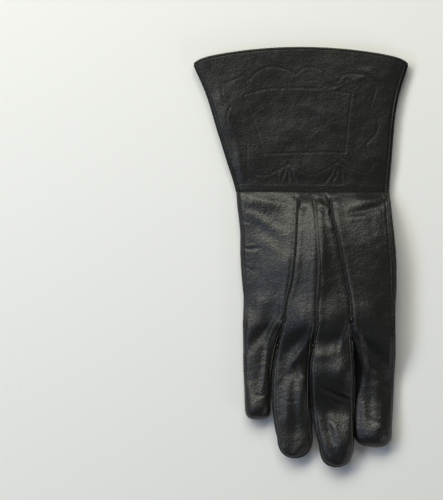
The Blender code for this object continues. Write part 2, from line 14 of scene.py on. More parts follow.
import bmesh
import bpy
import numpy as np
from mathutils import Matrix, Vector, noise
from mathutils.bvhtree import BVHTree
from mathutils.kdtree import KDTree


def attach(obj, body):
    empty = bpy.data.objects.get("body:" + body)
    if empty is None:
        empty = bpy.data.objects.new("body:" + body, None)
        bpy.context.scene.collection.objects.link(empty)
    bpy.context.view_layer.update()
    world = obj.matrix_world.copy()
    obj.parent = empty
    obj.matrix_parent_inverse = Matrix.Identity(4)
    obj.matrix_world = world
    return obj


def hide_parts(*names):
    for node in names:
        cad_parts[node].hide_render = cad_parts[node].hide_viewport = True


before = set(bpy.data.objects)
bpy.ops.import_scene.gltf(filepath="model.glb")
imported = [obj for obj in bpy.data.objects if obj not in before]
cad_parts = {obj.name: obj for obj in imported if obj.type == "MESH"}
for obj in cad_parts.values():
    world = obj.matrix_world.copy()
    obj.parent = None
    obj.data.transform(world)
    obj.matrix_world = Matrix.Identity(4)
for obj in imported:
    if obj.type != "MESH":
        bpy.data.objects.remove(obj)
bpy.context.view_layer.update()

MM = 0.001
FLOOR_GAP = 0.3 * MM
# The relief of a panel comes back over this distance from its seams.
SEAM_FADE = 2.6 * MM
# Paths are dropped onto the glove from this high.
DROP_HEIGHT = 0.1
# A bell counts as far as this many half widths from its middle.
BELL_REACH = 4
TINY = 1e-12
LOG = logging.getLogger("gauntlet")
Place = tuple[float, float]
Colour = tuple[float, float, float]
Array = np.ndarray
Values = Array | float
Socket = bpy.types.NodeSocket
Piece = bpy.types.Object


class Face(Enum):
    """The two sides of the glove."""

    BACK = 1
    PALM = -1

    def named(self, part: str) -> str:
        """The name of a part on this side."""
        return f"{part}_{self.name.lower()}"


def ease(share: Values) -> Values:
    """A smooth step from 0 to 1.

    Args:
        share: The place along the step, which may lie outside it.

    Returns:
        The eased share.
    """
    share = np.clip(share, 0.0, 1.0)
    return share * share * (3 - 2 * share)


def ramp(value: Values, start: float, length: float) -> Values:
    """A smooth step from 0 at a start to 1 a length further on."""
    return ease((value - start) / length)


def mix(first: Values, second: Values, share: Values) -> Values:
    """The value at this share of the way from the first to the second."""
    return first + (second - first) * share


def bell(distance: Array, width: float) -> Array:
    """A smooth bump of height 1 over this half width."""
    return np.exp(-((distance / width) ** 2))


@dataclass(frozen=True)
class PhotoPlan:
    """Turns a place in the 443 x 500 view into a place on the ground."""

    scale: float = 0.75 * MM
    middle_column: float = 300.5
    middle_row: float = 256.8

    def ground(self, places: Sequence[Place]) -> Array:
        """X and Y of places given in the view's pixels.

        Args:
            places: Columns and rows of the view.

        Returns:
            One row of X and Y for each place.
        """
        pixels = np.array(places, dtype=float)
        across = (pixels[:, 0] - self.middle_column) * self.scale
        along = (self.middle_row - pixels[:, 1]) * self.scale
        return np.column_stack([across, along])


PLAN = PhotoPlan()


def smooth_path(corners: Array, spacing: float) -> Array:
    """A smooth curve through corners.

    Args:
        corners: The corners, one to a row.
        spacing: The distance between the curve's points.

    Returns:
        The curve's points.
    """
    before = 2 * corners[0] - corners[1]
    after = 2 * corners[-1] - corners[-2]
    held = np.vstack([before, corners, after])
    pieces = []
    for i in range(1, len(held) - 2):
        a, b, c, d = held[i - 1], held[i], held[i + 1], held[i + 2]
        steps = max(2, int(np.linalg.norm(c - b) / spacing))
        t = np.linspace(0, 1, steps, endpoint=False)[:, None]
        curve = 2 * b + (c - a) * t + (2 * a - 5 * b + 4 * c - d) * t**2 + (3 * b - a - 3 * c + d) * t**3
        pieces.append(curve / 2)
    pieces.append(corners[-1:])
    return np.vstack(pieces)


def nearest_on(path: Array, places: Array) -> tuple[Array, Array]:
    """How far places lie from a path on the ground, and how far along it their nearest points lie.

    Args:
        path: The path's X and Y.
        places: X and Y of the places.

    Returns:
        The distances, and the shares along the path.
    """
    best = np.full(len(places), np.inf)
    share = np.zeros(len(places))
    last = len(path) - 1
    for i in range(last):
        run = path[i + 1] - path[i]
        length = max(TINY, float(run @ run))
        t = np.clip((places - path[i]) @ run / length, 0, 1)
        gap = np.linalg.norm(places - path[i] - t[:, None] * run, axis=1)
        closer = gap < best
        best[closer] = gap[closer]
        share[closer] = (i + t[closer]) / last
    return best, share


def within_reach(path: Array, width: float, places: Array) -> Array:
    """Which places lie near enough to a path to be touched by a bell along it.

    Args:
        path: The path's X and Y.
        width: The bell's half width.
        places: X and Y of the places.

    Returns:
        True for each place that is near.
    """
    low = path.min(axis=0) - BELL_REACH * width
    high = path.max(axis=0) + BELL_REACH * width
    return np.all((places > low) & (places < high), axis=1)


@dataclass(frozen=True)
class Crease:
    """A crease or, with a positive height, a roll of the leather from one place by another to a third.

    The places are pixels of the view. Width, height and step are in millimetres. Beside a crease
    the leather rises by shoulders, a share of its depth, at shoulders_at times its width. It fades
    towards its ends, but not within end_share of them.
    """

    start: Place
    middle: Place
    end: Place
    width: float
    height: float
    shoulders: float = 0.3
    shoulders_at: float = 2.0
    step: float = 1.5
    end_share: float = 0.02

    def heights(self, places: Array) -> Array:
        """The height that it adds at places on the ground.

        Args:
            places: X and Y of the places.

        Returns:
            The heights in metres.
        """
        path = smooth_path(PLAN.ground([self.start, self.middle, self.end]), self.step * MM)
        width = self.width * MM
        near = within_reach(path, width, places)
        total = np.zeros(len(places))
        if not near.any():
            return total
        gap, share = nearest_on(path, places[near])
        profile = bell(gap, width)
        if self.height < 0:
            profile -= self.shoulders * bell(gap - self.shoulders_at * width, width)
        fade = np.sqrt(np.sin(np.pi * np.clip(share, self.end_share, 1 - self.end_share)))
        total[near] = self.height * MM * profile * fade
        return total


@dataclass(frozen=True)
class Swelling:
    """A broad swelling or, with a negative height, a hollow.

    The centre is in pixels of the view, length, width and height in millimetres, and turn in
    degrees from across the glove.
    """

    centre: Place
    length: float
    width: float
    height: float
    turn: float = 0.0

    def heights(self, places: Array) -> Array:
        """The height that it adds at places on the ground.

        Args:
            places: X and Y of the places.

        Returns:
            The heights in metres.
        """
        away = places - PLAN.ground([self.centre])[0]
        turn = math.radians(self.turn)
        lengthwise = (away[:, 0] * math.cos(turn) + away[:, 1] * math.sin(turn)) / (self.length * MM)
        crosswise = (away[:, 1] * math.cos(turn) - away[:, 0] * math.sin(turn)) / (self.width * MM)
        return self.height * MM * np.exp(-(lengthwise**2) - crosswise**2)


@dataclass(frozen=True)
class Station:
    """A section of the body, from the cuff's mouth (1) by the wrist (0) to the finger roots (-1)."""

    along: float
    left: float
    right: float
    flare_left: float
    flare_right: float
    fill: float
    seam_left: float
    seam_right: float


@dataclass(frozen=True)
class Points:
    """Where the three raised points run on the back, as shares of the hand's width."""

    along: float
    little_ring: float
    ring_middle: float
    middle_index: float


@dataclass(frozen=True)
class Finger:
    """A finger: its edges half way and where the tip begins, as shares of the hand's width.

    reach and tip are shares of the finger's length. The finger stays lifted by the thumb up to
    lift_hold and lies on the ground from lift_end, as shares of its straight part. flange is how
    far up the sine of the angle round it the flat edge reaches, and rim_raise how much higher its
    seam lies at the tip than a side seam, as a share of the hand's depth. squareness is the power
    of the tip's outline, which is an ellipse at 2.
    """

    name: str
    mid_left: float
    mid_right: float
    tip_left: float
    tip_right: float
    reach: float
    tip: float
    lift_hold: float
    lift_end: float
    flange: float = 0.0
    rim_raise: float = 0.0
    squareness: float = 2.0


@dataclass(frozen=True)
class Form:
    """How full a finger is along its straight part."""

    along: float
    crown: float


@dataclass(frozen=True)
class ThumbRing:
    """A section of the thumb, from the palm's hole (0) to its tip (1).

    The places down are shares of the thumb's reach from the hole's wrist side, the heights of its
    depth, and left and right of the hole's width from the hole's middle.
    """

    along: float
    lower_down: float
    upper_down: float
    lower_height: float
    upper_height: float
    left: float
    right: float


class SmoothTable:
    """Smooth curves through the columns of a table, by its column named along."""

    def __init__(self, rows: Iterable[object]) -> None:
        """Sorts the rows and keeps their columns."""
        ordered = sorted(rows, key=lambda row: row.along)
        self.places = [row.along for row in ordered]
        self.columns = {name: [getattr(row, name) for row in ordered] for name in vars(ordered[0])}

    def at(self, name: str, along: float) -> float:
        """The column's value at a place.

        Args:
            name: The column.
            along: The place, which is held to the table's ends.

        Returns:
            The value on the smooth curve through the rows.
        """
        places, values = self.places, self.columns[name]
        along = min(places[-1], max(places[0], along))
        i = next(k for k in range(len(places) - 1) if along <= places[k + 1])
        step = places[i + 1] - places[i]
        slopes = [(values[k + 1] - values[k]) / (places[k + 1] - places[k]) for k in range(len(places) - 1)]
        start = slopes[i] if i == 0 else (slopes[i - 1] + slopes[i]) / 2
        end = slopes[i] if i == len(slopes) - 1 else (slopes[i] + slopes[i + 1]) / 2
        t = (along - places[i]) / step
        return (
            (2 * t**3 - 3 * t**2 + 1) * values[i]
            + (t**3 - 2 * t**2 + t) * step * start
            + (3 * t**2 - 2 * t**3) * values[i + 1]
            + (t**3 - t**2) * step * end
        )


STATIONS = SmoothTable([
    Station(1.00, -0.545, 0.466, 1.00, 1.00, 0.25, 8, 9),
    Station(0.75, -0.545, 0.466, 0.68, 0.49, 0.10, 8, 12),
    Station(0.50, -0.545, 0.466, 0.455, 0.23, 0.00, 8, 13),
    Station(0.25, -0.545, 0.466, 0.225, 0.11, -0.10, 8, 15),
    Station(0.00, -0.545, 0.466, 0.00, 0.00, -0.20, 9, 19),
    Station(-0.12, -0.536, 0.474, 0.00, 0.00, 0.75, 11, 22),
    Station(-0.30, -0.517, 0.490, 0.00, 0.00, 1.05, 13, 25),
    Station(-0.50, -0.514, 0.506, 0.00, 0.00, 1.00, 13, 26),
    Station(-0.70, -0.502, 0.506, 0.00, 0.00, 1.00, 13, 24),
    Station(-0.87, -0.496, 0.509, 0.00, 0.00, 1.00, 14, 22),
    Station(-1.00, -0.499, 0.500, 0.00, 0.00, 1.00, 16, 22),
])
POINT_LINES = SmoothTable([
    Points(0.00, -0.149, -0.030, 0.074),
    Points(-0.12, -0.149, -0.027, 0.079),
    Points(-0.30, -0.155, -0.015, 0.108),
    Points(-0.50, -0.167, -0.007, 0.142),
    Points(-0.70, -0.186, -0.007, 0.176),
    Points(-0.87, -0.207, -0.016, 0.201),
    Points(-1.00, -0.233, -0.018, 0.208),
])
POINT_NAMES = ("little_ring", "ring_middle", "middle_index")
FINGERS = (
    Finger("little", -0.495, -0.3075, -0.486, -0.321, 0.672, 0.088, 0.00, 0.36, squareness=3.2),
    Finger("ring", -0.2975, -0.0620, -0.274, -0.041, 0.938, 0.140, 0.04, 0.46, 0.4, 0.26, 2.3),
    Finger("middle", -0.0510, 0.2210, 0.000, 0.228, 1.000, 0.155, 0.38, 0.76, 0.4, 0.26, 2.3),
    Finger("index", 0.2270, 0.4955, 0.238, 0.476, 0.858, 0.118, 0.06, 0.54, squareness=3.0),
)
FINGER_FORM = SmoothTable([
    Form(0.00, 0.97),
    Form(0.12, 0.92),
    Form(0.30, 0.88),
    Form(0.45, 0.90),
    Form(0.65, 0.92),
    Form(0.85, 1.02),
    Form(1.00, 1.13),
])
THUMB_RINGS = SmoothTable([
    ThumbRing(0.00, 0.050, 0.508, 0.42, 1.00, -0.505, 0.535),
    ThumbRing(0.10, 0.150, 0.526, 0.10, 0.99, -0.495, 0.555),
    ThumbRing(0.25, 0.300, 0.550, 0.00, 0.98, -0.500, 0.560),
    ThumbRing(0.42, 0.460, 0.590, 0.00, 0.98, -0.540, 0.490),
    ThumbRing(0.57, 0.600, 0.650, 0.00, 1.00, -0.610, 0.360),
    ThumbRing(0.72, 0.740, 0.745, 0.00, 0.98, -0.670, 0.200),
    ThumbRing(0.85, 0.855, 0.855, 0.02, 0.93, -0.690, 0.090),
    ThumbRing(0.93, 0.930, 0.930, 0.09, 0.85, -0.650, -0.020),
    ThumbRing(0.975, 0.977, 0.977, 0.22, 0.74, -0.540, -0.120),
    ThumbRing(1.00, 1.000, 1.000, 0.38, 0.60, -0.400, -0.250),
])
LAST = len(FINGERS) - 1


@dataclass(frozen=True)
class Section:
    """The body's section at one station."""

    left: float
    right: float
    depth: float
    seam_left: float
    seam_right: float


@dataclass(frozen=True)
class GloveForm:
    """The skin of cuff, hand and fingers as smooth functions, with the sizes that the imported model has."""

    leather: float = 1.2 * MM
    seam_gap: float = 0.3 * MM
    hand_width: float = 113.5 * MM
    hand_depth: float = 13 * MM
    palm_length: float = 97 * MM
    finger_length: float = 109.5 * MM
    side_root_drop: float = 6 * MM
    cuff_length: float = 105.5 * MM
    cuff_depth: float = 10.5 * MM
    flare_little_side: float = 31.5 * MM
    flare_thumb_side: float = 13.5 * MM
    mouth_arc_rise: float = 9 * MM
    mouth_corner_drop: float = 2.5 * MM
    mouth_corner_power: int = 16
    fourchette_inset: float = 4.5 * MM
    fourchette_swell: float = 2.6 * MM
    fourchette_swell_place: float = 0.7
    fourchette_swell_start: float = 0.35
    fourchette_swell_end: float = 0.5
    fourchette_inset_ramp: float = 0.25
    gap_end_width: float = 1.6 * MM
    thumb_lift: float = 11.5 * MM
    thumb_clearance: float = 1.2 * MM
    thumb_reach: float = 117.5 * MM
    thumb_hole_width: float = 50 * MM
    thumb_hole_length: float = 58 * MM
    thumb_hole_across: float = 23.5 * MM
    thumb_hole_down: float = 18 * MM
    seam_height: float = 0.48
    fork_top: float = 0.74
    crotch_top: float = 0.965
    crotch_share: float = 0.16
    fork_bottom: float = 0.2
    fork_end: float = 0.07
    narrowing_start: float = 0.5
    side_power: float = 0.55
    dome_power: float = 0.8
    cuff_dome_power: float = 0.45
    cuff_dome_start: float = 0.25
    flanged_power: float = 0.5
    flange_rise: float = 0.08
    flange_start: float = 0.04
    flange_ramp: float = 0.16
    underside_power: float = 0.6
    underside_fullness: float = 1.08
    lift_start: float = -0.44
    lift_width: float = 0.46
    lift_ramp: float = 0.58
    lift_power: float = 2.0
    parting_start: float = 0.66
    valley_start: float = 0.86
    mid_share: float = 0.45
    gap_end_share: float = 0.375
    fork_tip_share: float = 0.25
    palm_gap_drops: tuple[float, ...] = (0.11, 0.15, 0.17)
    wrist_middle: Vector = field(default_factory=lambda: Vector((13.508, 49.33, 0.01)) * MM)
    hem_overlap: float = 0.9 * MM
    cuff_columns: int = 216
    cuff_rows: int = 132
    trace_fineness: int = 4
    columns: int = 40
    edge_spacing: float = 0.07
    hand_rows: int = 92
    finger_rows: int = 88
    tip_rows: int = 15
    fork_rows: int = 10

    @property
    def straight_end(self) -> int:
        """The row where the fingertips begin."""
        return self.hand_rows + self.finger_rows

    @property
    def fork_end_row(self) -> int:
        """The row of the fingertips where the fourchettes end."""
        return self.straight_end + round(self.tip_rows * self.fork_tip_share)

    def domed(self, rise: Array) -> Array:
        """The height of the back over a section, where rise is the sine of the angle round it."""
        return np.abs(rise) ** self.dome_power

    def flanged(self, rise: Array, flange: float) -> Array:
        """The height of a finger's back, which is flat along its stitched edges and over its top."""
        body = (np.maximum(0.0, rise - flange) / (1 - flange)) ** self.flanged_power
        return mix(body, self.domed(rise), self.flange_rise)

    def flattened(self, rise: Array) -> Array:
        """The depth of the underside, which is flat over its middle."""
        return np.minimum(1.0, self.underside_fullness * np.abs(rise) ** self.underside_power)

    def lift(self, x: Array, along: float) -> Array:
        """How high the folded thumb carries the underside.

        Args:
            x: The places across the glove, from the wrist's middle.
            along: The station.

        Returns:
            The height at each place.
        """
        from_little_side = ramp(x / self.hand_width, self.lift_start, self.lift_width)
        left_to_rise = 1 - min(1.0, max(0.0, -along / self.lift_ramp))
        return self.thumb_lift * from_little_side * (1 - left_to_rise**self.lift_power)

    def section(self, along: float) -> Section:
        """The body's section at a station.

        Args:
            along: The station.

        Returns:
            The section, before the thumb lifts it.
        """
        left = STATIONS.at("left", along) * self.hand_width
        right = STATIONS.at("right", along) * self.hand_width
        left -= STATIONS.at("flare_left", along) * self.flare_little_side
        right += STATIONS.at("flare_right", along) * self.flare_thumb_side
        depth = mix(self.cuff_depth, self.hand_depth, STATIONS.at("fill", along))
        seams = [math.radians(STATIONS.at(name, along)) for name in ("seam_left", "seam_right")]
        return Section(left, right, depth, *seams)

    def point_line(self, gap: int, along: float) -> float:
        """X of the raised point that runs to the gap after this finger."""
        return POINT_LINES.at(POINT_NAMES[gap], along) * self.hand_width

    def angle_at(self, across: float) -> float:
        """The angle round a section of a place across it, from 1 at the little finger's side to -1."""
        return math.acos(math.copysign(min(1.0, abs(across)) ** (1 / self.side_power), across))

    def boundary(self, face: Face, along: float, gap: int, section: Section) -> float:
        """The angle round the section of the line between two strands, or of a side seam.

        Args:
            face: The glove's side.
            along: The station.
            gap: The finger before the line, which is -1 at the little finger's side seam.
            section: The body's section at the station.

        Returns:
            The angle.
        """
        if gap < 0:
            return face.value * section.seam_left
        if gap == LAST:
            return math.pi - face.value * section.seam_right
        held = section if along <= 0 else self.section(0)
        centre = (held.left + held.right) / 2
        half = (held.right - held.left) / 2
        return self.angle_at((centre - self.point_line(gap, min(along, 0.0))) / half)

    def roots(self, face: Face, finger: int, share: Array) -> Array:
        """How far below the wrist a strand's finger starts, over the strand's width.

        Args:
            face: The glove's side.
            finger: The finger's number from the little finger.
            share: The places over the strand's width.

        Returns:
            The distance at each place.
        """

        def drop(gap: int) -> float:
            """How far below the palm's length a gap or a side starts."""
            if gap < 0 or gap == LAST:
                return self.side_root_drop
            return 0.0 if face is Face.BACK else self.palm_gap_drops[gap] * self.finger_length

        return self.palm_length + mix(drop(finger - 1), drop(finger), share)

    def body_points(self, face: Face, along: float, angles: Array, roots: Array) -> Array:
        """Points of the cuff or the hand.

        Args:
            face: The glove's side.
            along: The station.
            angles: The angles round the section.
            roots: How far below the wrist the finger starts, at each angle.

        Returns:
            One row of X, Y and Z for each angle.
        """
        section = self.section(along)
        cosine = np.cos(angles)
        across = -np.sign(cosine) * np.abs(cosine) ** self.side_power
        x = mix(section.left, section.right, (across + 1) / 2)
        if along > 0:
            corner_drop = self.mouth_corner_drop * across**self.mouth_corner_power
            y = along * (self.cuff_length - self.mouth_arc_rise * across**2 - corner_drop)
        else:
            y = np.full_like(x, along) * roots
        rise = np.sin(angles)
        seam = self.seam_height * section.depth
        power = mix(self.dome_power, self.cuff_dome_power, ramp(along, 0, self.cuff_dome_start))
        upper = seam + (section.depth - seam) * np.abs(rise) ** power
        lower = seam * (1 - self.flattened(rise))
        height = upper if face is Face.BACK else np.where(rise < 0, upper, lower)
        return np.column_stack([x, y, self.lift(x, along) + height])

    def finger_edges(self, finger: int, v: float) -> tuple[float, float]:
        """X of both edges of a finger.

        Args:
            finger: The finger's number from the little finger.
            v: The share of its straight part.

        Returns:
            X of the little finger's side, and of the thumb's side.
        """
        row = FINGERS[finger]
        root = self.section(-1)
        left = root.left if finger == 0 else self.point_line(finger - 1, -1)
        right = root.right if finger == LAST else self.point_line(finger, -1)

        def through(start: float, middle: float, end: float) -> float:
            """The smooth curve from the root by the middle to where the tip begins."""
            first = (middle - start) / self.mid_share
            second = (end - middle) / (1 - self.mid_share)
            return start + first * v + (second - first) * v * (v - self.mid_share)

        width = self.hand_width
        return (
            through(left, row.mid_left * width, row.tip_left * width),
            through(right, row.mid_right * width, row.tip_right * width),
        )

    def finger_points(self, face: Face, finger: int, v: float, share: Array, root: Array) -> Array:
        """Points of a finger's straight part.

        Args:
            face: The glove's side.
            finger: The finger's number from the little finger.
            v: The share of the straight part.
            share: The places over the strand's width.
            root: How far below the wrist the finger starts, at each place.

        Returns:
            One row of X, Y and Z for each place.
        """
        row = FINGERS[finger]
        left, right = self.finger_edges(finger, v)
        centre = (left + right) / 2
        narrowing = ramp(v, self.narrowing_start, 1 - self.narrowing_start)
        inset = self.fourchette_inset * ramp(v, 0, self.fourchette_inset_ramp) * (1 - narrowing)
        near_crotch = 1 - ramp(v, 0, self.crotch_share)
        rim = self.seam_height + row.rim_raise
        fork_top = mix(self.fork_top, rim + self.fork_end, narrowing)
        fork_top = mix(fork_top, self.crotch_top, near_crotch)
        fork_bottom = mix(self.fork_bottom, rim - self.fork_end, narrowing)
        section = self.section(-1)
        fade = 1 - ease(v)
        start = face.value * section.seam_left * fade if finger == 0 else 0.0
        end = math.pi - (face.value * section.seam_right * fade if finger == LAST else 0.0)
        angle = mix(start, end, share)
        rise = np.sin(angle)
        on_left = np.cos(angle) > 0
        at_seam = np.where(on_left, finger == 0, finger == LAST)
        edge = np.where(on_left, left, right)
        if face is Face.PALM:
            edge = edge + np.where(at_seam, 0.0, np.where(on_left, inset, -inset))
        x = centre - np.abs(centre - edge) * np.cos(angle)
        crown = FINGER_FORM.at("crown", v)
        top_rim = np.where(at_seam, self.seam_height, fork_top)
        flange = row.flange * ramp(v, self.flange_start, self.flange_ramp)
        upper = mix(top_rim, crown, self.flanged(rise, flange) if flange > 0 else self.domed(rise))
        low_rim = np.where(at_seam, self.seam_height, fork_bottom)
        lower = low_rim * (1 - self.flattened(rise))
        height = upper if face is Face.BACK else np.where(rise < 0, upper, lower)
        straight = self.palm_length + (row.reach - row.tip) * self.finger_length
        y = -mix(root, straight, v)
        lifted = self.lift(x, -1) * (1 - ramp(v, row.lift_hold, row.lift_end - row.lift_hold))
        return np.column_stack([x, y, lifted + height * self.hand_depth])

    def tip_points(self, face: Face, finger: int, share: Array, step: float) -> Array:
        """Points of a finger's round end: half a square, drawn in along its rays to half a disc.

        Args:
            face: The glove's side.
            finger: The finger's number from the little finger.
            share: The places over the strand's width.
            step: The share of the tip, from the straight part to the end.

        Returns:
            One row of X, Y and Z for each place.
        """
        row = FINGERS[finger]
        left, right = self.finger_edges(finger, 1)
        across = -np.cos(np.pi * share)
        onward = math.sin(math.pi / 2 * step)
        drawn_in = np.maximum(np.abs(across), onward) / np.maximum(TINY, np.hypot(across, onward))
        disc_x, disc_y = across * drawn_in, onward * drawn_in
        inward = np.sqrt(np.maximum(0.0, 1 - disc_x**2 - disc_y**2))
        power = row.squareness
        reach = np.maximum(TINY, np.abs(disc_x) ** power + np.abs(disc_y) ** power) ** (1 / power)
        fuller = np.hypot(disc_x, disc_y) / reach
        disc_x, disc_y = disc_x * fuller, disc_y * fuller
        x = mix(left, right, (disc_x + 1) / 2)
        y = -self.palm_length - (row.reach - row.tip + row.tip * disc_y) * self.finger_length
        outer = np.where(across < 0, finger == 0, finger == LAST)
        parted = self.fork_end * max(0.0, 1 - step / self.fork_tip_share) * (1 - outer)
        rim = self.seam_height + row.rim_raise
        if face is Face.BACK:
            full = self.flanged(inward, row.flange) if row.flange > 0 else self.domed(inward)
            height = mix(rim + parted, FINGER_FORM.at("crown", 1), full)
        else:
            height = (rim - parted) * (1 - self.flattened(inward))
        return np.column_stack([x, y, height * self.hand_depth])

    def cuff(self, face: Face) -> Array:
        """The points of one of the cuff's panels, from its hem over the wrist to the mouth.

        Args:
            face: The glove's side.

        Returns:
            The points by row and column, evenly spaced along each row.
        """
        root = np.array([self.palm_length])
        rows = []
        for along in [-self.hem_overlap / self.palm_length, *np.linspace(0, 1, self.cuff_rows)]:
            section = self.section(along)
            ends = [self.boundary(face, along, gap, section) for gap in (-1, LAST)]
            angles = np.linspace(*ends, self.trace_fineness * self.cuff_columns)
            traced = self.body_points(face, along, angles, root)
            reach = lengths_along(traced)
            even = np.interp(np.linspace(0, reach[-1], self.cuff_columns + 1), reach, angles)
            rows.append(self.body_points(face, along, even, root))
        return np.array(rows) + np.array(self.wrist_middle)

    def hand_points(self, face: Face, finger: int, along: float, share: Array, root: Array) -> Array:
        """Points of a strand on the hand, which turns into its finger towards the root.

        Args:
            face: The glove's side.
            finger: The finger's number from the little finger.
            along: The station.
            share: The places over the strand's width.
            root: How far below the wrist the finger starts, at each place.

        Returns:
            One row of X, Y and Z for each place.
        """
        section = self.section(along)
        first, second = (self.boundary(face, along, gap, section) for gap in (finger - 1, finger))
        spread = (1 - np.cos(np.pi * share)) / 2
        points = self.body_points(face, along, mix(first, second, spread), root)
        parting = ramp(-along, self.parting_start, 1 - self.parting_start)
        valley = ramp(-along, self.valley_start, 1 - self.valley_start)
        if parting > 0:
            parted = self.finger_points(face, finger, 0, share, root)
            points[:, 0] = mix(points[:, 0], parted[:, 0], parting)
            points[:, 2] = mix(points[:, 2], parted[:, 2], valley if face is Face.BACK else parting)
        return points

    def strand(self, face: Face, finger: int) -> Array:
        """The points of one strand of the hand's skin, from the wrist to the fingertip.

        Args:
            face: The glove's side.
            finger: The finger's number from the little finger.

        Returns:
            The points by row and column.
        """
        share = np.linspace(0, 1, self.columns + 1)
        share += self.edge_spacing * np.sin(2 * np.pi * share)
        root = self.roots(face, finger, share)
        at_gap = np.zeros(self.columns + 1)
        if finger > 0:
            at_gap[0] = 1
        if finger < LAST:
            at_gap[-1] = -1
        rows = []
        for row in range(self.straight_end + self.tip_rows + 1):
            if row <= self.hand_rows:
                points = self.hand_points(face, finger, -row / self.hand_rows, share, root)
                opening = 1.0 if row == self.hand_rows else 0.0
            elif row <= self.straight_end:
                v = (row - self.hand_rows) / self.finger_rows
                points = self.finger_points(face, finger, v, share, root)
                opening = 1 - ramp(v, 0, self.gap_end_share)
            else:
                points = self.tip_points(face, finger, share, (row - self.straight_end) / self.tip_rows)
                opening = 0.0
            points[:, 0] += at_gap * opening * self.gap_end_width / 2
            rows.append(points)
        return np.array(rows) + np.array(self.wrist_middle)

    def fork(self, gap: int, strands: dict[tuple[Face, int], Array]) -> Array:
        """The points of the fourchette in a gap, from one finger's end by the root to the other's.

        Args:
            gap: The finger before the gap.
            strands: The points of all strands, by side and finger.

        Returns:
            The points by row, from the back to the palm, and column.
        """
        rows = slice(self.hand_rows, self.fork_end_row + 1)
        edges = []
        for face in (Face.BACK, Face.PALM):
            left = strands[face, gap][rows, -1][::-1]
            right = strands[face, gap + 1][rows, 0]
            edges.append(np.vstack([left, right]))
        down = np.linspace(0, 1, self.fork_rows + 1)[:, None, None]
        sheet = edges[0] * (1 - down) + edges[1] * down
        arm = len(edges[0]) // 2
        steps = np.arange(arm) / (arm - 1)
        from_crotch = np.concatenate([steps[::-1], steps])
        along = ramp(from_crotch, 0, self.fourchette_swell_start)
        along *= ramp(1 - from_crotch, 0, self.fourchette_swell_end)
        across = np.sin(np.pi * down[:, :, 0] ** self.fourchette_swell_place)
        bulge = self.fourchette_swell * across * along
        bulge[:, arm:] *= -1
        sheet[:, :, 0] += bulge
        return sheet

    def hole(self, angles: Array, clearance: float) -> Array:
        """X and Y on the rim of the thumb's hole, drawn in by a clearance.

        Args:
            angles: The places round the rim.
            clearance: How far inside the rim the places lie.

        Returns:
            One row of X and Y for each angle.
        """
        middle = -(self.thumb_hole_down + self.thumb_hole_length / 2)
        across = self.thumb_hole_across + (self.thumb_hole_width / 2 - clearance) * np.cos(angles)
        along = middle + (self.thumb_hole_length / 2 - clearance) * np.sin(angles)
        return np.column_stack([across, along]) + np.array(self.wrist_middle.xy)

    def thumb_ring(self, along: float, angles: Array) -> Array:
        """The points of one section of the thumb.

        Args:
            along: The share from the palm's hole to the tip.
            angles: The places round the section.

        Returns:
            One row of X, Y and Z for each angle.
        """
        row = {name: THUMB_RINGS.at(name, along) for name in THUMB_RINGS.columns}
        across = mix(row["left"], row["right"], (np.cos(angles) + 1) / 2)
        x = self.thumb_hole_across + across * self.thumb_hole_width
        rise = -np.sin(angles)
        level = np.where(rise < 0, -self.flattened(rise), self.domed(rise))
        share = (level + 1) / 2
        y = -self.thumb_hole_down - mix(row["lower_down"], row["upper_down"], share) * self.thumb_reach
        depth = self.thumb_lift - self.thumb_clearance
        z = mix(row["lower_height"], row["upper_height"], share) * depth
        return np.column_stack([x, y, z]) + np.array(self.wrist_middle)


def lengths_along(path: Array) -> Array:
    """How far along a path each of its points lies."""
    return np.concatenate([[0.0], np.cumsum(np.linalg.norm(np.diff(path, axis=0), axis=1))])


def line_beside(rows: Array, inset: float) -> Array:
    """The line that keeps a distance from the edge that the first columns of rows of points make.

    Args:
        rows: The points by row and column.
        inset: The distance along the surface from the first column.

    Returns:
        One point for each row.
    """
    line = []
    for row in rows:
        reach = lengths_along(row)
        line.append([np.interp(inset, reach, row[:, axis]) for axis in range(3)])
    return np.array(line)


def line_round_finger(strand: Array, inset: float) -> Array:
    """The line that keeps a distance from a finger's edges, down one side, round the tip and up the other.

    Args:
        strand: The finger's points by row and column, from its root on.
        inset: The distance along the surface from the edge.

    Returns:
        The line's points.
    """
    from_tip = np.swapaxes(strand, 0, 1)[:, ::-1]
    spare_rows = int(np.searchsorted(lengths_along(from_tip[0]), inset))
    spare_columns = int(np.searchsorted(lengths_along(strand[-1]), inset))
    sides = strand[: len(strand) - spare_rows]
    first = line_beside(sides, inset)
    tip = line_beside(from_tip[spare_columns : len(from_tip) - spare_columns], inset)
    second = line_beside(sides[:, ::-1], inset)[::-1]
    return np.vstack([first, tip, second])


def line_inside_rim(strand: Array, inset: float) -> Array:
    """The line on the ground that keeps a distance inside a finger's outline, as seen from above.

    Args:
        strand: The finger's points by row and column, from its root on.
        inset: The distance on the ground from the outline.

    Returns:
        The line's X and Y.
    """
    outline = np.vstack([strand[:, 0], strand[-1, 1:-1], strand[::-1, -1]])[:, :2]
    run = np.gradient(outline, axis=0)
    run /= np.maximum(TINY, np.linalg.norm(run, axis=1))[:, None]
    return outline + np.column_stack([-run[:, 1], run[:, 0]]) * inset


def lay_grid(bm: bmesh.types.BMesh, points: Array) -> None:
    """Lays a grid of faces with its corners at points.

    Args:
        bm: The mesh to add to.
        points: The corners by row and column.
    """
    rows, columns = points.shape[0] - 1, points.shape[1] - 1
    corners = bmesh.ops.create_grid(bm, x_segments=columns, y_segments=rows, size=0.5)["verts"]
    for corner in corners:
        column = round((corner.co.x + 0.5) * columns)
        row = round((corner.co.y + 0.5) * rows)
        corner.co = points[row, column]


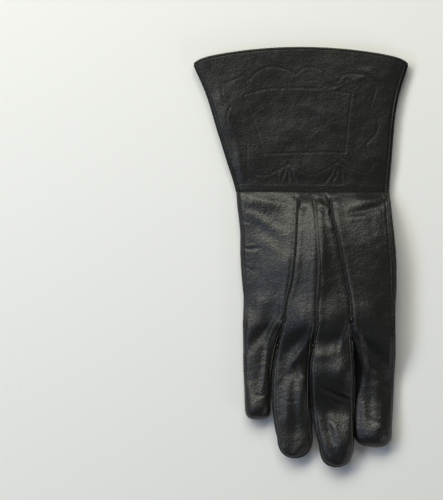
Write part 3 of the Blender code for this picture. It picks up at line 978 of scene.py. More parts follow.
class Skin:
    """An outer skin of named sheets, welded where they meet, from which the panels are cut."""

    weld_reach = 0.004 * MM

    def __init__(self) -> None:
        """Starts with no sheets."""
        self.bm = bmesh.new()
        self.bm.faces.layers.int.new("panel")
        self.names: list[str] = []

    def mark(self, name: str, before: int) -> None:
        """Marks new faces with their panel's name.

        Args:
            name: The panel.
            before: How many faces the skin had before they were added.
        """
        if name not in self.names:
            self.names.append(name)
        panel = self.bm.faces.layers.int["panel"]
        self.bm.faces.ensure_lookup_table()
        for face in self.bm.faces[before:]:
            face[panel] = self.names.index(name)

    def lay(self, name: str, points: Array) -> None:
        """Adds a sheet to a panel.

        Args:
            name: The panel.
            points: The sheet's points by row and column.
        """
        before = len(self.bm.faces)
        lay_grid(self.bm, points)
        self.mark(name, before)

    def patch(self, name: str, corners: Sequence[Array]) -> None:
        """Adds one small face to a panel.

        Args:
            name: The panel.
            corners: The face's corners in order.
        """
        before = len(self.bm.faces)
        verts = [self.bm.verts.new(corner) for corner in corners]
        bmesh.ops.contextual_create(self.bm, geom=verts)
        self.mark(name, before)

    def weld(self) -> None:
        """Joins the sheets at their edges and keeps the way outwards on every vertex."""
        border = [vert for vert in self.bm.verts if vert.is_boundary]
        bmesh.ops.remove_doubles(self.bm, verts=border, dist=self.weld_reach)
        bmesh.ops.recalc_face_normals(self.bm, faces=self.bm.faces[:])
        self.bm.normal_update()
        outward = self.bm.verts.layers.float_vector.new("outward")
        for vert in self.bm.verts:
            vert[outward] = vert.normal

    def cut(self, name: str) -> bmesh.types.BMesh:
        """A copy of the skin with the faces of one panel alone.

        Args:
            name: The panel.

        Returns:
            The panel's mesh.
        """
        bm = self.bm.copy()
        panel = bm.faces.layers.int["panel"]
        mine = self.names.index(name)
        bmesh.ops.delete(bm, geom=[face for face in bm.faces if face[panel] != mine], context="FACES")
        bm.verts.index_update()
        bm.verts.ensure_lookup_table()
        return bm


class Effect:
    """Adds and joins the nodes of a material or of a node group."""

    def __init__(self, tree: bpy.types.NodeTree) -> None:
        """Keeps the tree that the nodes go into."""
        self.tree = tree

    def add(self, kind: str, **values: object) -> bpy.types.Node:
        """Adds a node.

        Args:
            kind: The node's type, without its leading ShaderNode or Node.
            values: As for set.

        Returns:
            The node.
        """
        prefix = "Node" if kind.startswith("Group") and kind != "Group" else "ShaderNode"
        return self.set(self.tree.nodes.new(prefix + kind), **values)

    def set(self, node: bpy.types.Node, **values: object) -> bpy.types.Node:
        """Sets up a node.

        Args:
            node: The node.
            values: Its settings, and its sockets' values or links, by name. An underscore stands
                for a space, and a leading i and a number for the socket at that place.

        Returns:
            The node.
        """
        for name, value in values.items():
            if hasattr(node, name):
                setattr(node, name, value)
                continue
            key = int(name[1:]) if name[0] == "i" and name[1:].isdigit() else name.replace("_", " ")
            if isinstance(value, bpy.types.NodeSocket):
                self.tree.links.new(value, node.inputs[key])
            else:
                node.inputs[key].default_value = value
        return node

    def math(self, operation: str, first: object, second: object = 0.0, third: object = 0.0) -> Socket:
        """The output of a Math node."""
        return self.add("Math", operation=operation, i0=first, i1=second, i2=third).outputs[0]


@dataclass(frozen=True)
class Grain:
    """The effect of leather grain: pebbles with fine lines between them, on uneven hide.

    stir is how far the pebbles are shifted about. The depth of the pebbles and the heights of the
    fine lines and of the wrinkles are shares of the depth that a finish gives its grain.
    """

    name: str = "leather_grain"
    stir: float = 1.1 * MM
    stir_scale: float = 260.0
    fine_scale: float = 750.0
    mottle_scale: float = 55.0
    pebble_depth: float = 0.45
    fine_height: float = 0.6
    wrinkle_height: float = 1.1

    def group(self) -> bpy.types.ShaderNodeTree:
        """Builds the effect.

        Returns:
            A node group that puts out the grain's height and how light and dull the hide is.
        """
        group = bpy.data.node_groups.new(self.name, "ShaderNodeTree")
        for name in ("Pebbles", "Wrinkles"):
            group.interface.new_socket(name=name, in_out="INPUT", socket_type="NodeSocketFloat")
        for name in ("Height", "Mottle", "Speckle"):
            group.interface.new_socket(name=name, in_out="OUTPUT", socket_type="NodeSocketFloat")
        effect = Effect(group)
        given = effect.add("GroupInput")
        place = effect.add("TexCoord").outputs["Object"]
        stir = effect.add("TexNoise", Vector=place, Scale=self.stir_scale, Detail=2.0)
        shift = {"i0": stir.outputs["Color"], "i1": (self.stir, self.stir, self.stir), "i2": place}
        bent = effect.add("VectorMath", operation="MULTIPLY_ADD", **shift).outputs[0]
        pebbles = effect.add("TexVoronoi", Vector=bent, Scale=given.outputs["Pebbles"])
        fine = effect.add("TexNoise", Vector=place, Scale=self.fine_scale, Detail=2.0)
        wrinkle = effect.add("TexNoise", Vector=bent, Scale=given.outputs["Wrinkles"], Detail=4.0)
        ridged = effect.math("ABSOLUTE", effect.math("SUBTRACT", wrinkle.outputs["Fac"], 0.5))
        height = effect.math("MULTIPLY", pebbles.outputs["Distance"], -self.pebble_depth)
        height = effect.math("MULTIPLY_ADD", fine.outputs["Fac"], self.fine_height, height)
        height = effect.math("MULTIPLY_ADD", ridged, self.wrinkle_height, height)
        mottle = effect.add("TexNoise", Vector=place, Scale=self.mottle_scale, Detail=5.0, Roughness=0.6)
        speckle = effect.math("SUBTRACT", fine.outputs["Fac"], 0.5)
        effect.add("GroupOutput", Height=height, Mottle=mottle.outputs["Fac"], Speckle=speckle)
        return group


@dataclass(frozen=True)
class Finish:
    """A finish whose colour lies between a dark and a light tone."""

    name: str
    dark: Colour
    light: Colour

    def begin(self) -> tuple[bpy.types.Material, Effect]:
        """A new material, and the effect that sets up its nodes."""
        material = bpy.data.materials.new(self.name)
        material.use_nodes = True
        return material, Effect(material.node_tree)

    def shade(
        self, effect: Effect, lightness: Socket, height: Socket, depth: float, **values: object
    ) -> None:
        """Sets up the material's shader.

        Args:
            effect: The material's effect.
            lightness: How light each place is, from the dark tone to the light one.
            height: How high each place stands.
            depth: What a height of 1 measures.
            values: What else the shader is given.
        """
        tones = {"i6": (*self.dark, 1), "i7": (*self.light, 1)}
        colour = effect.add("Mix", data_type="RGBA", i0=lightness, **tones).outputs[2]
        normal = effect.add("Bump", Distance=depth, Height=height).outputs["Normal"]
        shader = effect.tree.nodes["Principled BSDF"]
        effect.set(shader, Base_Color=colour, Normal=normal, **values)


@dataclass(frozen=True)
class LeatherFinish(Finish):
    """Black glove leather: its dye, with a painted highlight on raised relief and painted shade in its
    creases, its sheen and its grain.
    """

    dullest: float = 0.52
    glossiest: float = 0.36
    pebbles: float = 620.0
    wrinkles: float = 230.0
    grain_depth: float = 0.29 * MM
    speckle: float = 2.2
    polish_and_shade_share: float = 0.5
    mottle_share: float = 0.5
    sheen: float = 0.5

    def material(self) -> bpy.types.Material:
        """Builds the material.

        Returns:
            The material, which reads the polish and shade that each panel keeps on its vertices: raised
            places are glossier and painted lighter as a highlight, and creases are painted darker as shade.
        """
        material, effect = self.begin()
        group = bpy.data.node_groups[Grain.name]
        grain = effect.add("Group", node_tree=group, Pebbles=self.pebbles, Wrinkles=self.wrinkles).outputs
        # Raised relief is glossier. Together with random mottle and speckle, the same share sets the tone:
        # painted lighter there as a highlight, and darker in creases and grooves as shade.
        polish = effect.add("Attribute", attribute_name="polish").outputs["Fac"]
        mottle = effect.add("MapRange", Value=grain["Mottle"], From_Min=0.3, From_Max=0.7).outputs[0]
        mottle = effect.math("MULTIPLY", mottle, self.mottle_share)
        tone_and_relief_shade = effect.math("MULTIPLY_ADD", polish, self.polish_and_shade_share, mottle)
        tone_and_relief_shade = effect.math("MULTIPLY_ADD", grain["Speckle"], self.speckle, tone_and_relief_shade)
        dull = effect.add("MapRange", Value=tone_and_relief_shade, To_Min=self.dullest, To_Max=self.glossiest).outputs[0]
        gloss = {"Roughness": dull, "Specular_IOR_Level": self.sheen}
        self.shade(effect, tone_and_relief_shade, grain["Height"], self.grain_depth, **gloss)
        return material


@dataclass(frozen=True)
class ThreadFinish(Finish):
    """Waxed black sewing thread, with its twist as fine bands."""

    name: str = "black_thread"
    dark: Colour = (0.01, 0.01, 0.01)
    light: Colour = (0.03, 0.03, 0.028)
    roughness: float = 0.55
    twist_scale: float = 900.0
    twist_depth: float = 0.08 * MM

    def material(self) -> bpy.types.Material:
        """Builds the material.

        Returns:
            The material.
        """
        material, effect = self.begin()
        wave = effect.add("TexWave", bands_direction="DIAGONAL", Scale=self.twist_scale, Distortion=2.0)
        twist = effect.set(wave, Vector=effect.add("TexCoord").outputs["Object"]).outputs["Fac"]
        self.shade(effect, twist, twist, self.twist_depth, Roughness=self.roughness)
        return material


@dataclass(frozen=True)
class SeamRoll:
    """How leather rolls over into a seam, with a row of stitches sunk beside it. In millimetres."""

    sink: float = 0.4
    sink_width: float = 0.4
    ridge: float = 0.32
    ridge_at: float = 0.9
    ridge_width: float = 0.5
    stitch_depth: float = 0.34
    stitch_at: float = 1.9
    stitch_width: float = 0.42
    puff: float = 0.15
    puff_at: float = 3.4
    puff_width: float = 1.4

    def heights(self, distance: Array) -> Array:
        """The height that the roll adds.

        Args:
            distance: How far each place lies from the seam.

        Returns:
            The heights in metres.
        """
        d = distance / MM
        total = -self.sink * bell(d, self.sink_width)
        total += self.ridge * bell(d - self.ridge_at, self.ridge_width)
        total -= self.stitch_depth * bell(d - self.stitch_at, self.stitch_width)
        total += self.puff * bell(d - self.puff_at, self.puff_width)
        return total * MM


@dataclass(frozen=True)
class PointRoll:
    """A raised point: a pinched ridge of leather with a stitched groove on either side. In millimetres."""

    ridge: float = 0.55
    ridge_width: float = 0.34
    groove: float = 0.8
    groove_at: float = 0.76
    groove_width: float = 0.32
    puff: float = 0.3
    puff_at: float = 3.6
    puff_width: float = 2.0

    def heights(self, distance: Array) -> Array:
        """The height that the point adds.

        Args:
            distance: How far each place lies from the point's line.

        Returns:
            The heights in metres.
        """
        d = distance / MM
        total = self.ridge * bell(d, self.ridge_width)
        total -= self.groove * bell(d - self.groove_at, self.groove_width)
        total += self.puff * bell(d - self.puff_at, self.puff_width)
        return total * MM


@dataclass(frozen=True)
class Crumple:
    """An unevenness of the leather: the distance between two bumps and their height, in millimetres."""

    size: float
    height: float

    def heights(self, places: Array) -> Array:
        """The height that it adds at places, in metres."""
        uneven = np.array([noise.noise(Vector(place) / (self.size * MM)) for place in places])
        return uneven * (self.height * MM)


class LeatherPanel:
    """One cut piece of leather, whose relief is added up before its vertices move."""

    rim_samples = 5
    polish_and_shade_range = 1.6 * MM

    def __init__(self, name: str, bm: bmesh.types.BMesh) -> None:
        """Keeps the cut piece, with where its vertices lie and which way is outwards."""
        self.name = name
        self.bm = bm
        outward = bm.verts.layers.float_vector["outward"]
        self.places = np.array([vert.co for vert in bm.verts])
        self.outward = np.array([vert[outward] for vert in bm.verts])
        self.heights = np.zeros(len(self.places))

    @property
    def ground(self) -> Array:
        """X and Y of the vertices."""
        return self.places[:, :2]

    def distances(self, samples: Array) -> Array:
        """How far each vertex lies from the nearest of some points.

        Args:
            samples: The points.

        Returns:
            The distances.
        """
        tree = KDTree(len(samples))
        for i, sample in enumerate(samples):
            tree.insert(sample, i)
        tree.balance()
        return np.array([tree.find(place)[2] for place in self.places])

    def rim(self, wanted: Callable[[Vector], bool]) -> Array:
        """Points along open edges.

        Args:
            wanted: Whether an edge with its middle at this place is taken.

        Returns:
            The points.
        """
        samples = []
        for edge in self.bm.edges:
            first, second = (vert.co for vert in edge.verts)
            if edge.is_boundary and wanted((first + second) / 2):
                samples += [first.lerp(second, t) for t in np.linspace(0, 1, self.rim_samples)]
        return np.array(samples)

    def roll_into(self, distance: Array, roll: SeamRoll | PointRoll, share: Values = 1.0) -> None:
        """Adds a roll's relief by the distance from its seam."""
        self.heights += roll.heights(distance) * share

    def relieve(self, forms: Iterable[Crease | Swelling], share: Values = 1.0) -> None:
        """Adds creases and swellings, which fade where share does."""
        for form in forms:
            self.heights += form.heights(self.ground) * share

    def crumple(self, crumples: Iterable[Crumple], share: Values = 1.0) -> None:
        """Makes the leather uneven, where share is how much of it each vertex takes."""
        for form in crumples:
            self.heights += form.heights(self.places) * share

    def press_line(self, path: Array, depth: float, width: float) -> None:
        """Sinks a groove along a path.

        Args:
            path: The path's X and Y.
            depth: The groove's depth.
            width: Its half width.
        """
        near = within_reach(path, width, self.ground)
        gap, _ = nearest_on(path, self.ground[near])
        self.heights[near] -= depth * bell(gap, width)

    def shape(self) -> None:
        """Moves the vertices by the relief, and keeps how polished its high places are; the same share
        paints high places lighter as a highlight and low places darker as shade.
        """
        moved = self.places + self.outward * self.heights[:, None]
        moved[:, 2] = np.maximum(moved[:, 2], FLOOR_GAP)
        polish = self.bm.verts.layers.float.new("polish")
        # Above the relief's middle the leather is glossier and painted lighter as a highlight; in creases,
        # grooves and under the hem it is painted darker as shade.
        polish_and_shade_level = np.clip(0.5 + self.heights / self.polish_and_shade_range, 0, 1)
        for vert, place, share in zip(self.bm.verts, moved, polish_and_shade_level):
            vert.co = place
            vert[polish] = share
        self.bm.normal_update()

    def surface(self) -> BVHTree:
        """The shaped surface, to lay stitches on."""
        return BVHTree.FromBMesh(self.bm)

    def finish(self, thickness: float, material: bpy.types.Material, slot: str) -> None:
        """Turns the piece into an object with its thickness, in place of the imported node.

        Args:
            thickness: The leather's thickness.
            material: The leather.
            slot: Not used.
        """
        piece = add_piece(self.name + "_leather", self.bm, material)
        wall = piece.modifiers.new("wall", "SOLIDIFY")
        wall.thickness = thickness
        wall.offset = -1
        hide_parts(self.name)


def add_piece(name: str, bm: bmesh.types.BMesh, material: bpy.types.Material) -> Piece:
    """Turns a mesh into a smooth object that rides on the glove.

    Args:
        name: The piece's name.
        bm: Its mesh, which is used up.
        material: Its finish.

    Returns:
        The object.
    """
    mesh = bpy.data.meshes.new(name)
    bm.to_mesh(mesh)
    bm.free()
    mesh.shade_smooth()
    mesh.materials.append(material)
    piece = bpy.data.objects.new(name, mesh)
    bpy.context.scene.collection.objects.link(piece)
    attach(piece, "root")
    LOG.info("%s: %d faces", name, len(mesh.polygons))
    return piece


class Sewing:
    """Rows of stitches on one part of the glove, as one mesh."""

    standing = 0.125

    def __init__(self, name: str, length: float = 1.9 * MM, thread: float = 0.5 * MM) -> None:
        """Starts with no stitches, of this length and thickness."""
        self.name = name
        self.length = length
        self.thread = thread
        self.bm = bmesh.new()

    def sew(self, path: Array, surface: BVHTree, pitch: float = 2.5 * MM) -> None:
        """Lays stitches on a surface along a path.

        Args:
            path: Points on or close to the surface.
            surface: The surface that they lie on.
            pitch: The distance from one stitch to the next.
        """
        reach = lengths_along(path)
        centres = np.arange(pitch / 2, reach[-1], pitch)
        ends = [centres - self.length / 2, centres + self.length / 2]
        starts, stops = ([np.interp(end, reach, path[:, axis]) for axis in range(3)] for end in ends)
        row = bmesh.new()
        for start, stop in zip(np.transpose(starts), np.transpose(stops)):
            along = Vector(stop - start).normalized()
            place, normal, _, _ = surface.find_nearest(Vector((start + stop) / 2))
            across = along.cross(normal).normalized()
            upright = across.cross(along)
            axes = Matrix((across * self.thread / 2, upright * self.thread / 2, along * self.length / 2))
            raised = Matrix.Translation(place + normal * self.thread * self.standing)
            matrix = raised @ axes.transposed().to_4x4()
            bmesh.ops.create_uvsphere(row, u_segments=6, v_segments=5, radius=1, matrix=matrix)
        held = bpy.data.meshes.new("row")
        row.to_mesh(held)
        row.free()
        self.bm.from_mesh(held)
        bpy.data.meshes.remove(held)

    def finish(self, material: bpy.types.Material, slot: str) -> None:
        """Turns the stitches into one object."""
        add_piece(self.name, self.bm, material)


def dropped(path: Array, surface: BVHTree, face: Face) -> Array:
    """A path on the ground, moved onto a surface from above, or for the palm from below.

    Args:
        path: The path's X and Y.
        surface: The surface.
        face: The glove's side.

    Returns:
        The points on the surface.
    """
    points = []
    for x, y in path:
        start = Vector((x, y, DROP_HEIGHT * face.value))
        place, _, _, _ = surface.ray_cast(start, Vector((0, 0, -face.value)))
        if place is not None:
            points.append(place)
    return np.array(points)


GATHERS = (
    Swelling((260, 201), 17, 4.4, 1.7, -16),
    Swelling((266, 222), 20, 5.0, 1.4, -38),
    Swelling((268, 244), 18, 6.0, 1.0, -36),
    Swelling((305, 205), 5.0, 3.6, 0.9, 30),
    Swelling((322, 206), 4.5, 2.6, 1.0, -32),
    Swelling((337, 203), 3.4, 2.0, 1.1, 48),
    Swelling((367, 202), 14.0, 4.4, 1.8, -3),
    Swelling((330, 227), 3.5, 2.2, 0.6, -25),
    Crease((294, 195), (298, 202), (296, 210), 1.1, -0.9),
    Crease((283, 206), (289, 211), (294, 217), 1.1, -0.6),
    Crease((243, 206), (262, 214), (282, 228), 2.6, -0.6),
    Crease((386, 204), (366, 210), (342, 216), 2.4, -1.0),
    Crease((326, 196), (331, 205), (329, 216), 1.0, -0.8),
    Crease((341, 200), (334, 207), (329, 215), 1.0, -0.7),
    Crease((313, 207), (320, 210), (327, 215), 0.9, -0.5),
    Crease((341, 217), (358, 218), (375, 221), 2.0, 0.3),
    Crease((356, 240), (366, 246), (375, 255), 3.0, 0.4),
    Swelling((386, 197), 2.4, 1.5, 1.0, 60),
    Swelling((387, 204), 2.2, 1.2, 0.8, 70),
    Crease((380, 196), (384, 203), (388, 212), 0.8, -0.6),
)
SIDE_CREASES = (
    Crease((242, 248), (252, 249), (262, 247), 1.1, -0.6),
    Crease((241, 221), (245, 222), (249, 223), 0.9, -0.5),
    Crease((243, 259), (248, 262), (252, 261), 0.7, -0.3),
    Crease((243, 266), (249, 268), (253, 272), 0.7, -0.3),
)
BROAD_FORMS = (
    Swelling((280, 266), 18, 18, 2.3, -30),
    Swelling((316, 252), 9, 34, 1.9),
    Swelling((262, 306), 11, 8, 1.9, 40),
    Swelling((303, 315), 9, 12, 2.4, 12),
    Swelling((333, 317), 11, 13, 3.0),
    Swelling((367, 312), 11, 9, 2.4, -35),
    Swelling((350, 232), 18, 10, 0.7, -30),
)
VALLEYS = (
    Swelling((262, 333), 14, 4.5, -1.9, 47),
    Swelling((294, 344), 14, 6.5, -2.4, 45),
    Swelling((329, 341), 14, 6.5, -1.9, 8),
    Swelling((369, 350), 14, 4.8, -2.0, -46),
)
FINGER_ROLLS = (
    Crease((282, 313), (270, 334), (263, 386), 2.3, 1.4),
    Crease((315, 320), (306, 341), (288, 368), 2.9, 1.4),
    Crease((348, 319), (343, 333), (339, 350), 1.6, 1.1),
    Crease((352, 320), (358, 340), (366, 384), 2.8, 2.2),
    Crease((304, 354), (326, 353), (349, 344), 3.8, 0.5),
)
FINGER_JOINTS = (
    Crease((304, 362), (302, 385), (301, 428), 4.8, 1.6),
    Crease((291, 372), (287, 398), (290, 434), 4.2, 1.5),
    Crease((346, 404), (349, 428), (345, 456), 5.0, 2.0),
    Crease((360, 368), (363, 398), (365, 432), 3.2, 0.8),
    Crease((374, 366), (378, 398), (379, 432), 7.4, 2.7),
    Crease((265, 366), (264, 390), (264, 408), 3.6, 1.2),
    Swelling((341, 368), 7.5, 11, 2.8),
    Swelling((299, 390), 6.5, 13, 2.5),
    Swelling((377, 434), 9, 9, 2.3),
    Swelling((376, 400), 10, 9, -1.2),
    Swelling((259, 405), 8, 8, 1.0),
    Swelling((294, 430), 8, 9, -2.0),
    Crease((281, 444), (291, 453), (304, 442), 2.2, 0.8),
    Swelling((336, 408), 12, 9, -0.7),
    Swelling((341, 437), 10, 15, 2.7),
    Crease((327, 452), (336, 462), (349, 450), 2.2, 0.8),
    Crease((325, 408), (328, 428), (334, 448), 2.6, -1.0),
    Crease((293, 364), (297, 370), (301, 376), 1.1, -0.9),
    Crease((365, 359), (372, 368), (383, 373), 1.4, -0.5),
    Crease((374, 361), (379, 366), (386, 367), 1.0, -0.35),
    Crease((320, 387), (338, 395), (354, 402), 1.4, -1.2),
    Crease((326, 396), (336, 402), (348, 403), 1.0, -0.4),
    Crease((329, 418), (337, 426), (345, 438), 1.1, -0.5),
    Crease((335, 441), (342, 446), (349, 449), 0.9, -0.4),
    Crease((282, 398), (290, 401), (298, 399), 1.0, -0.3),
    Crease((285, 420), (292, 424), (300, 422), 1.2, -0.3),
    Crease((366, 415), (374, 421), (384, 424), 1.3, -0.35),
    Crease((252, 392), (259, 395), (266, 393), 1.1, -0.3),
)
PALM_FORMS = (
    Swelling((262, 262), 16, 26, 0.9),
    Swelling((300, 305), 40, 6, 0.7),
    Crease((252, 300), (285, 288), (318, 300), 1.6, -0.8),
    Crease((262, 322), (300, 312), (350, 322), 1.5, -0.7),
    Crease((296, 230), (290, 262), (300, 292), 1.5, -0.7),
    Crease((250, 212), (270, 208), (296, 214), 1.4, -0.6),
    Crease((276, 350), (291, 352), (306, 350), 1.1, -0.5),
    Crease((316, 352), (331, 355), (347, 352), 1.1, -0.5),
    Crease((356, 350), (371, 353), (386, 350), 1.1, -0.5),
    Crease((278, 392), (291, 394), (305, 392), 1.1, -0.5),
    Crease((320, 398), (334, 401), (350, 398), 1.1, -0.5),
    Crease((362, 388), (374, 390), (386, 388), 1.1, -0.5),
)


@dataclass
class Hand:
    """The back and the palm with the fingers, the fourchettes between them, and their stitches.

    A field that ends in share says how much of a relief is left, one that ends in fade over what
    distance it comes back, and one that starts with off where that begins, and over what distance
    it goes. The broad forms end along the fingers from swell_hold over swell_fade.
    """

    form: GloveForm
    swell_hold: float = 0.35
    swell_fade: float = 0.3
    swell_side: float = 0.4
    tuck: float = 0.6 * MM
    tuck_length: float = 1.6 * MM
    wrist_margin: float = 0.1 * MM
    point_start: float = 0.06
    off_crotch: tuple[float, float] = (1.5 * MM, 5 * MM)
    off_hidden: tuple[float, float] = (1.0 * MM, 2.5 * MM)
    hidden_share: float = 0.15
    edge_fade: float = 1.0 * MM
    point_share: float = 0.25
    point_fade: float = 2.4 * MM
    side_crease_share: float = 0.5
    finger_roll_share: float = 0.4
    palm_roll_share: float = 0.6
    off_fork_end: tuple[float, float] = (3 * MM, 9 * MM)
    fork_seam_fade: float = 2 * MM
    hole_reach: float = 1.12
    hole_samples: int = 361
    hole_stitch_samples: int = 200
    hidden_samples: float = 0.5 * MM
    edge_samples: float = 0.4 * MM
    point_samples: float = 0.3 * MM
    stitch_inset: float = 1.9 * MM
    point_stitch_inset: float = 0.36 * MM
    edge_inset: float = 1.5 * MM
    hidden_inset: float = 0.7 * MM
    stitch_length: float = 1.3 * MM
    edge_thread: float = 0.56 * MM
    pitch: float = 1.9 * MM
    palm_pitch: float = 2.5 * MM
    unstitched_rows: int = 2
    roll: SeamRoll = SeamRoll()
    edge_roll: SeamRoll = SeamRoll(
        sink=0.2, ridge=0.34, ridge_at=0.55, ridge_width=0.42, stitch_at=1.5, puff_at=2.7
    )
    point_roll: PointRoll = PointRoll()
    back_crumples: tuple[Crumple, ...] = (Crumple(17, 0.45), Crumple(5.5, 0.2), Crumple(2.8, 0.08))
    palm_crumples: tuple[Crumple, ...] = (Crumple(19, 0.5), Crumple(6, 0.18))
    fork_crumples: tuple[Crumple, ...] = (Crumple(7, 0.3),)

    def __post_init__(self) -> None:
        """Lays out the strands and the skin that they make."""
        form = self.form
        fingers = range(LAST + 1)
        self.strands = {(face, finger): form.strand(face, finger) for face in Face for finger in fingers}
        for finger in fingers:
            self.swell(finger, self.strands[Face.BACK, finger])
        self.skin = Skin()
        for face in Face:
            for finger in fingers:
                self.skin.lay(face.named("hand"), self.strands[face, finger])
            for gap in range(LAST):
                end = form.hand_rows
                left, right = self.strands[face, gap], self.strands[face, gap + 1]
                self.skin.patch(face.named("hand"), (left[end - 1, -1], left[end, -1], right[end, 0]))
        for gap in range(LAST):
            self.skin.lay(self.fork_name(gap), form.fork(gap, self.strands))
        self.skin.weld()

    def swell(self, finger: int, strand: Array) -> None:
        """Raises the broad forms on a strand of the back, which leaves its side seams where they are.

        Args:
            finger: The finger's number from the little finger.
            strand: The strand's points by row and column.
        """
        rows, columns = np.arange(len(strand)), np.linspace(0, 1, strand.shape[1])
        past_knuckle = (rows - self.form.hand_rows) / self.form.finger_rows
        held = 1 - ramp(past_knuckle, self.swell_hold, self.swell_fade)
        if finger == 0:
            from_side = ramp(columns, 0, self.swell_side)
        elif finger == LAST:
            from_side = ramp(1 - columns, 0, self.swell_side)
        else:
            from_side = np.ones(len(columns))
        for form in BROAD_FORMS:
            heights = form.heights(strand[..., :2].reshape(-1, 2)).reshape(strand.shape[:2])
            strand[..., 2] += heights * held[:, None] * from_side

    @staticmethod
    def fork_name(gap: int) -> str:
        """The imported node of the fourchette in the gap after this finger."""
        return f"fourchette_{FINGERS[gap].name}_{FINGERS[gap + 1].name}"

    def point_paths(self) -> list[Array]:
        """The lines of the three raised points, from near the wrist to the gaps between the fingers."""
        first = round(self.point_start * self.form.hand_rows)
        return [self.strands[Face.BACK, gap][first : self.form.hand_rows, -1] for gap in range(LAST)]

    def hidden_edges(self) -> Array:
        """The outlines of the little and the index finger, whose seams turn under and hardly show.

        Returns:
            Points along them.
        """
        end = self.form.hand_rows
        little, index = self.strands[Face.BACK, 0], self.strands[Face.BACK, LAST]
        corners = np.vstack([little[:, 0], little[-1], little[end:, -1][::-1], index[end:, 0], index[-1]])
        return smooth_path(corners, self.hidden_samples)

    def stitched_edges(self) -> Array:
        """The outlines of the ring and the middle finger, which show their stitches.

        Returns:
            Points along them.
        """
        fingers = [self.strands[Face.BACK, finger][self.form.hand_rows :] for finger in range(1, LAST)]
        sides = [side for finger in fingers for side in (finger[:, 0], finger[:, -1], finger[-1])]
        return np.vstack([smooth_path(side, self.edge_samples) for side in sides])

    def seam_share(self, panel: LeatherPanel) -> tuple[Array, Array]:
        """How a panel's vertices lie to its seams, the one at the wrist left out.

        Args:
            panel: The panel.

        Returns:
            Their distances from the seams, and how much relief they take there.
        """
        wrist = self.form.wrist_middle.y - self.wrist_margin
        distance = panel.distances(panel.rim(lambda place: place.y < wrist))
        return distance, ramp(distance, 0, SEAM_FADE)

    def under_hem(self, panel: LeatherPanel) -> Array:
        """How much the leather sinks where it goes in under the cuff's hem."""
        below_wrist = self.form.wrist_middle.y - panel.ground[:, 1]
        return self.tuck * (1 - ramp(below_wrist, 0, self.tuck_length))

    def roll_back_seams(self, panel: LeatherPanel, distance: Array) -> None:
        """Rolls the back into its seams, least in the crotches and where a seam hardly shows.

        Args:
            panel: The back.
            distance: How far its vertices lie from the seams.
        """
        crotches = np.array([self.strands[Face.BACK, gap][self.form.hand_rows, -1] for gap in range(LAST)])
        past_crotch = ramp(panel.distances(crotches), *self.off_crotch)
        in_sight = ramp(panel.distances(self.hidden_edges()), *self.off_hidden)
        shown = mix(self.hidden_share, 1.0, in_sight)
        at_edge = 1 - ramp(panel.distances(self.stitched_edges()) - distance, 0, self.edge_fade)
        panel.roll_into(distance, self.roll, (1 - at_edge) * past_crotch * shown)
        panel.roll_into(distance, self.edge_roll, at_edge * past_crotch)

    def build_back(self) -> LeatherPanel:
        """The back of the hand, with its points, gathers, knuckles and finger creases.

        Returns:
            The shaped panel.
        """
        panel = LeatherPanel("hand_back", self.skin.cut("hand_back"))
        distance, share = self.seam_share(panel)
        self.roll_back_seams(panel, distance)
        points = np.vstack([smooth_path(path, self.point_samples) for path in self.point_paths()])
        to_point = panel.distances(points)
        panel.roll_into(to_point, self.point_roll)
        off_points = mix(self.point_share, 1.0, ramp(to_point, 0, self.point_fade))
        panel.relieve((*GATHERS, *VALLEYS), share * off_points)
        panel.relieve(SIDE_CREASES, mix(self.side_crease_share, 1.0, share))
        panel.relieve(FINGER_ROLLS, mix(self.finger_roll_share, 1.0, share))
        panel.relieve(FINGER_JOINTS, share)
        panel.crumple(self.back_crumples, share * off_points)
        panel.heights -= self.under_hem(panel)
        panel.shape()
        return panel

    def open_hole(self, bm: bmesh.types.BMesh) -> None:
        """Cuts the thumb's oval hole out of the palm and draws the cut's corners onto the oval.

        Args:
            bm: The palm's mesh.
        """
        rim = self.form.hole(np.linspace(0, 2 * np.pi, self.hole_samples), 0)
        middle = rim.mean(axis=0)
        half = np.ptp(rim, axis=0) / 2

        def out_of_hole(place: Vector) -> float:
            """How far a place lies out from the hole's middle, where 1 is the rim."""
            return float(np.hypot(*((np.array(place.xy) - middle) / half)))

        under = [face for face in bm.faces if face.normal.z < 0]
        inside = [face for face in under if out_of_hole(face.calc_center_median()) < 1]
        bmesh.ops.delete(bm, geom=inside, context="FACES")
        for vert in bm.verts:
            share = out_of_hole(vert.co)
            if vert.is_boundary and share < self.hole_reach and vert.normal.z < 0:
                vert.co.xy = middle + (np.array(vert.co.xy) - middle) / share

    def build_palm(self) -> LeatherPanel:
        """The palm, with the oval hole that the thumb is set into.

        Returns:
            The shaped panel.
        """
        bm = self.skin.cut("hand_palm")
        self.open_hole(bm)
        panel = LeatherPanel("hand_palm", bm)
        distance, share = self.seam_share(panel)
        panel.roll_into(distance, self.roll, self.palm_roll_share)
        panel.relieve(PALM_FORMS, share)
        panel.crumple(self.palm_crumples, share)
        panel.heights -= self.under_hem(panel)
        panel.shape()
        return panel

    def build_fourchette(self, gap: int) -> LeatherPanel:
        """The strip between two fingers.

        Args:
            gap: The finger before the gap.

        Returns:
            The shaped panel.
        """
        name = self.fork_name(gap)
        panel = LeatherPanel(name, self.skin.cut(name))
        distance = panel.distances(panel.rim(lambda place: True))
        end = self.form.fork_end_row
        ends = np.array([self.strands[Face.BACK, gap][end, -1], self.strands[Face.BACK, gap + 1][end, 0]])
        before_end = ramp(panel.distances(ends), *self.off_fork_end)
        panel.roll_into(distance, self.roll, before_end)
        panel.crumple(self.fork_crumples, ramp(distance, 0, self.fork_seam_fade) * before_end)
        panel.shape()
        return panel

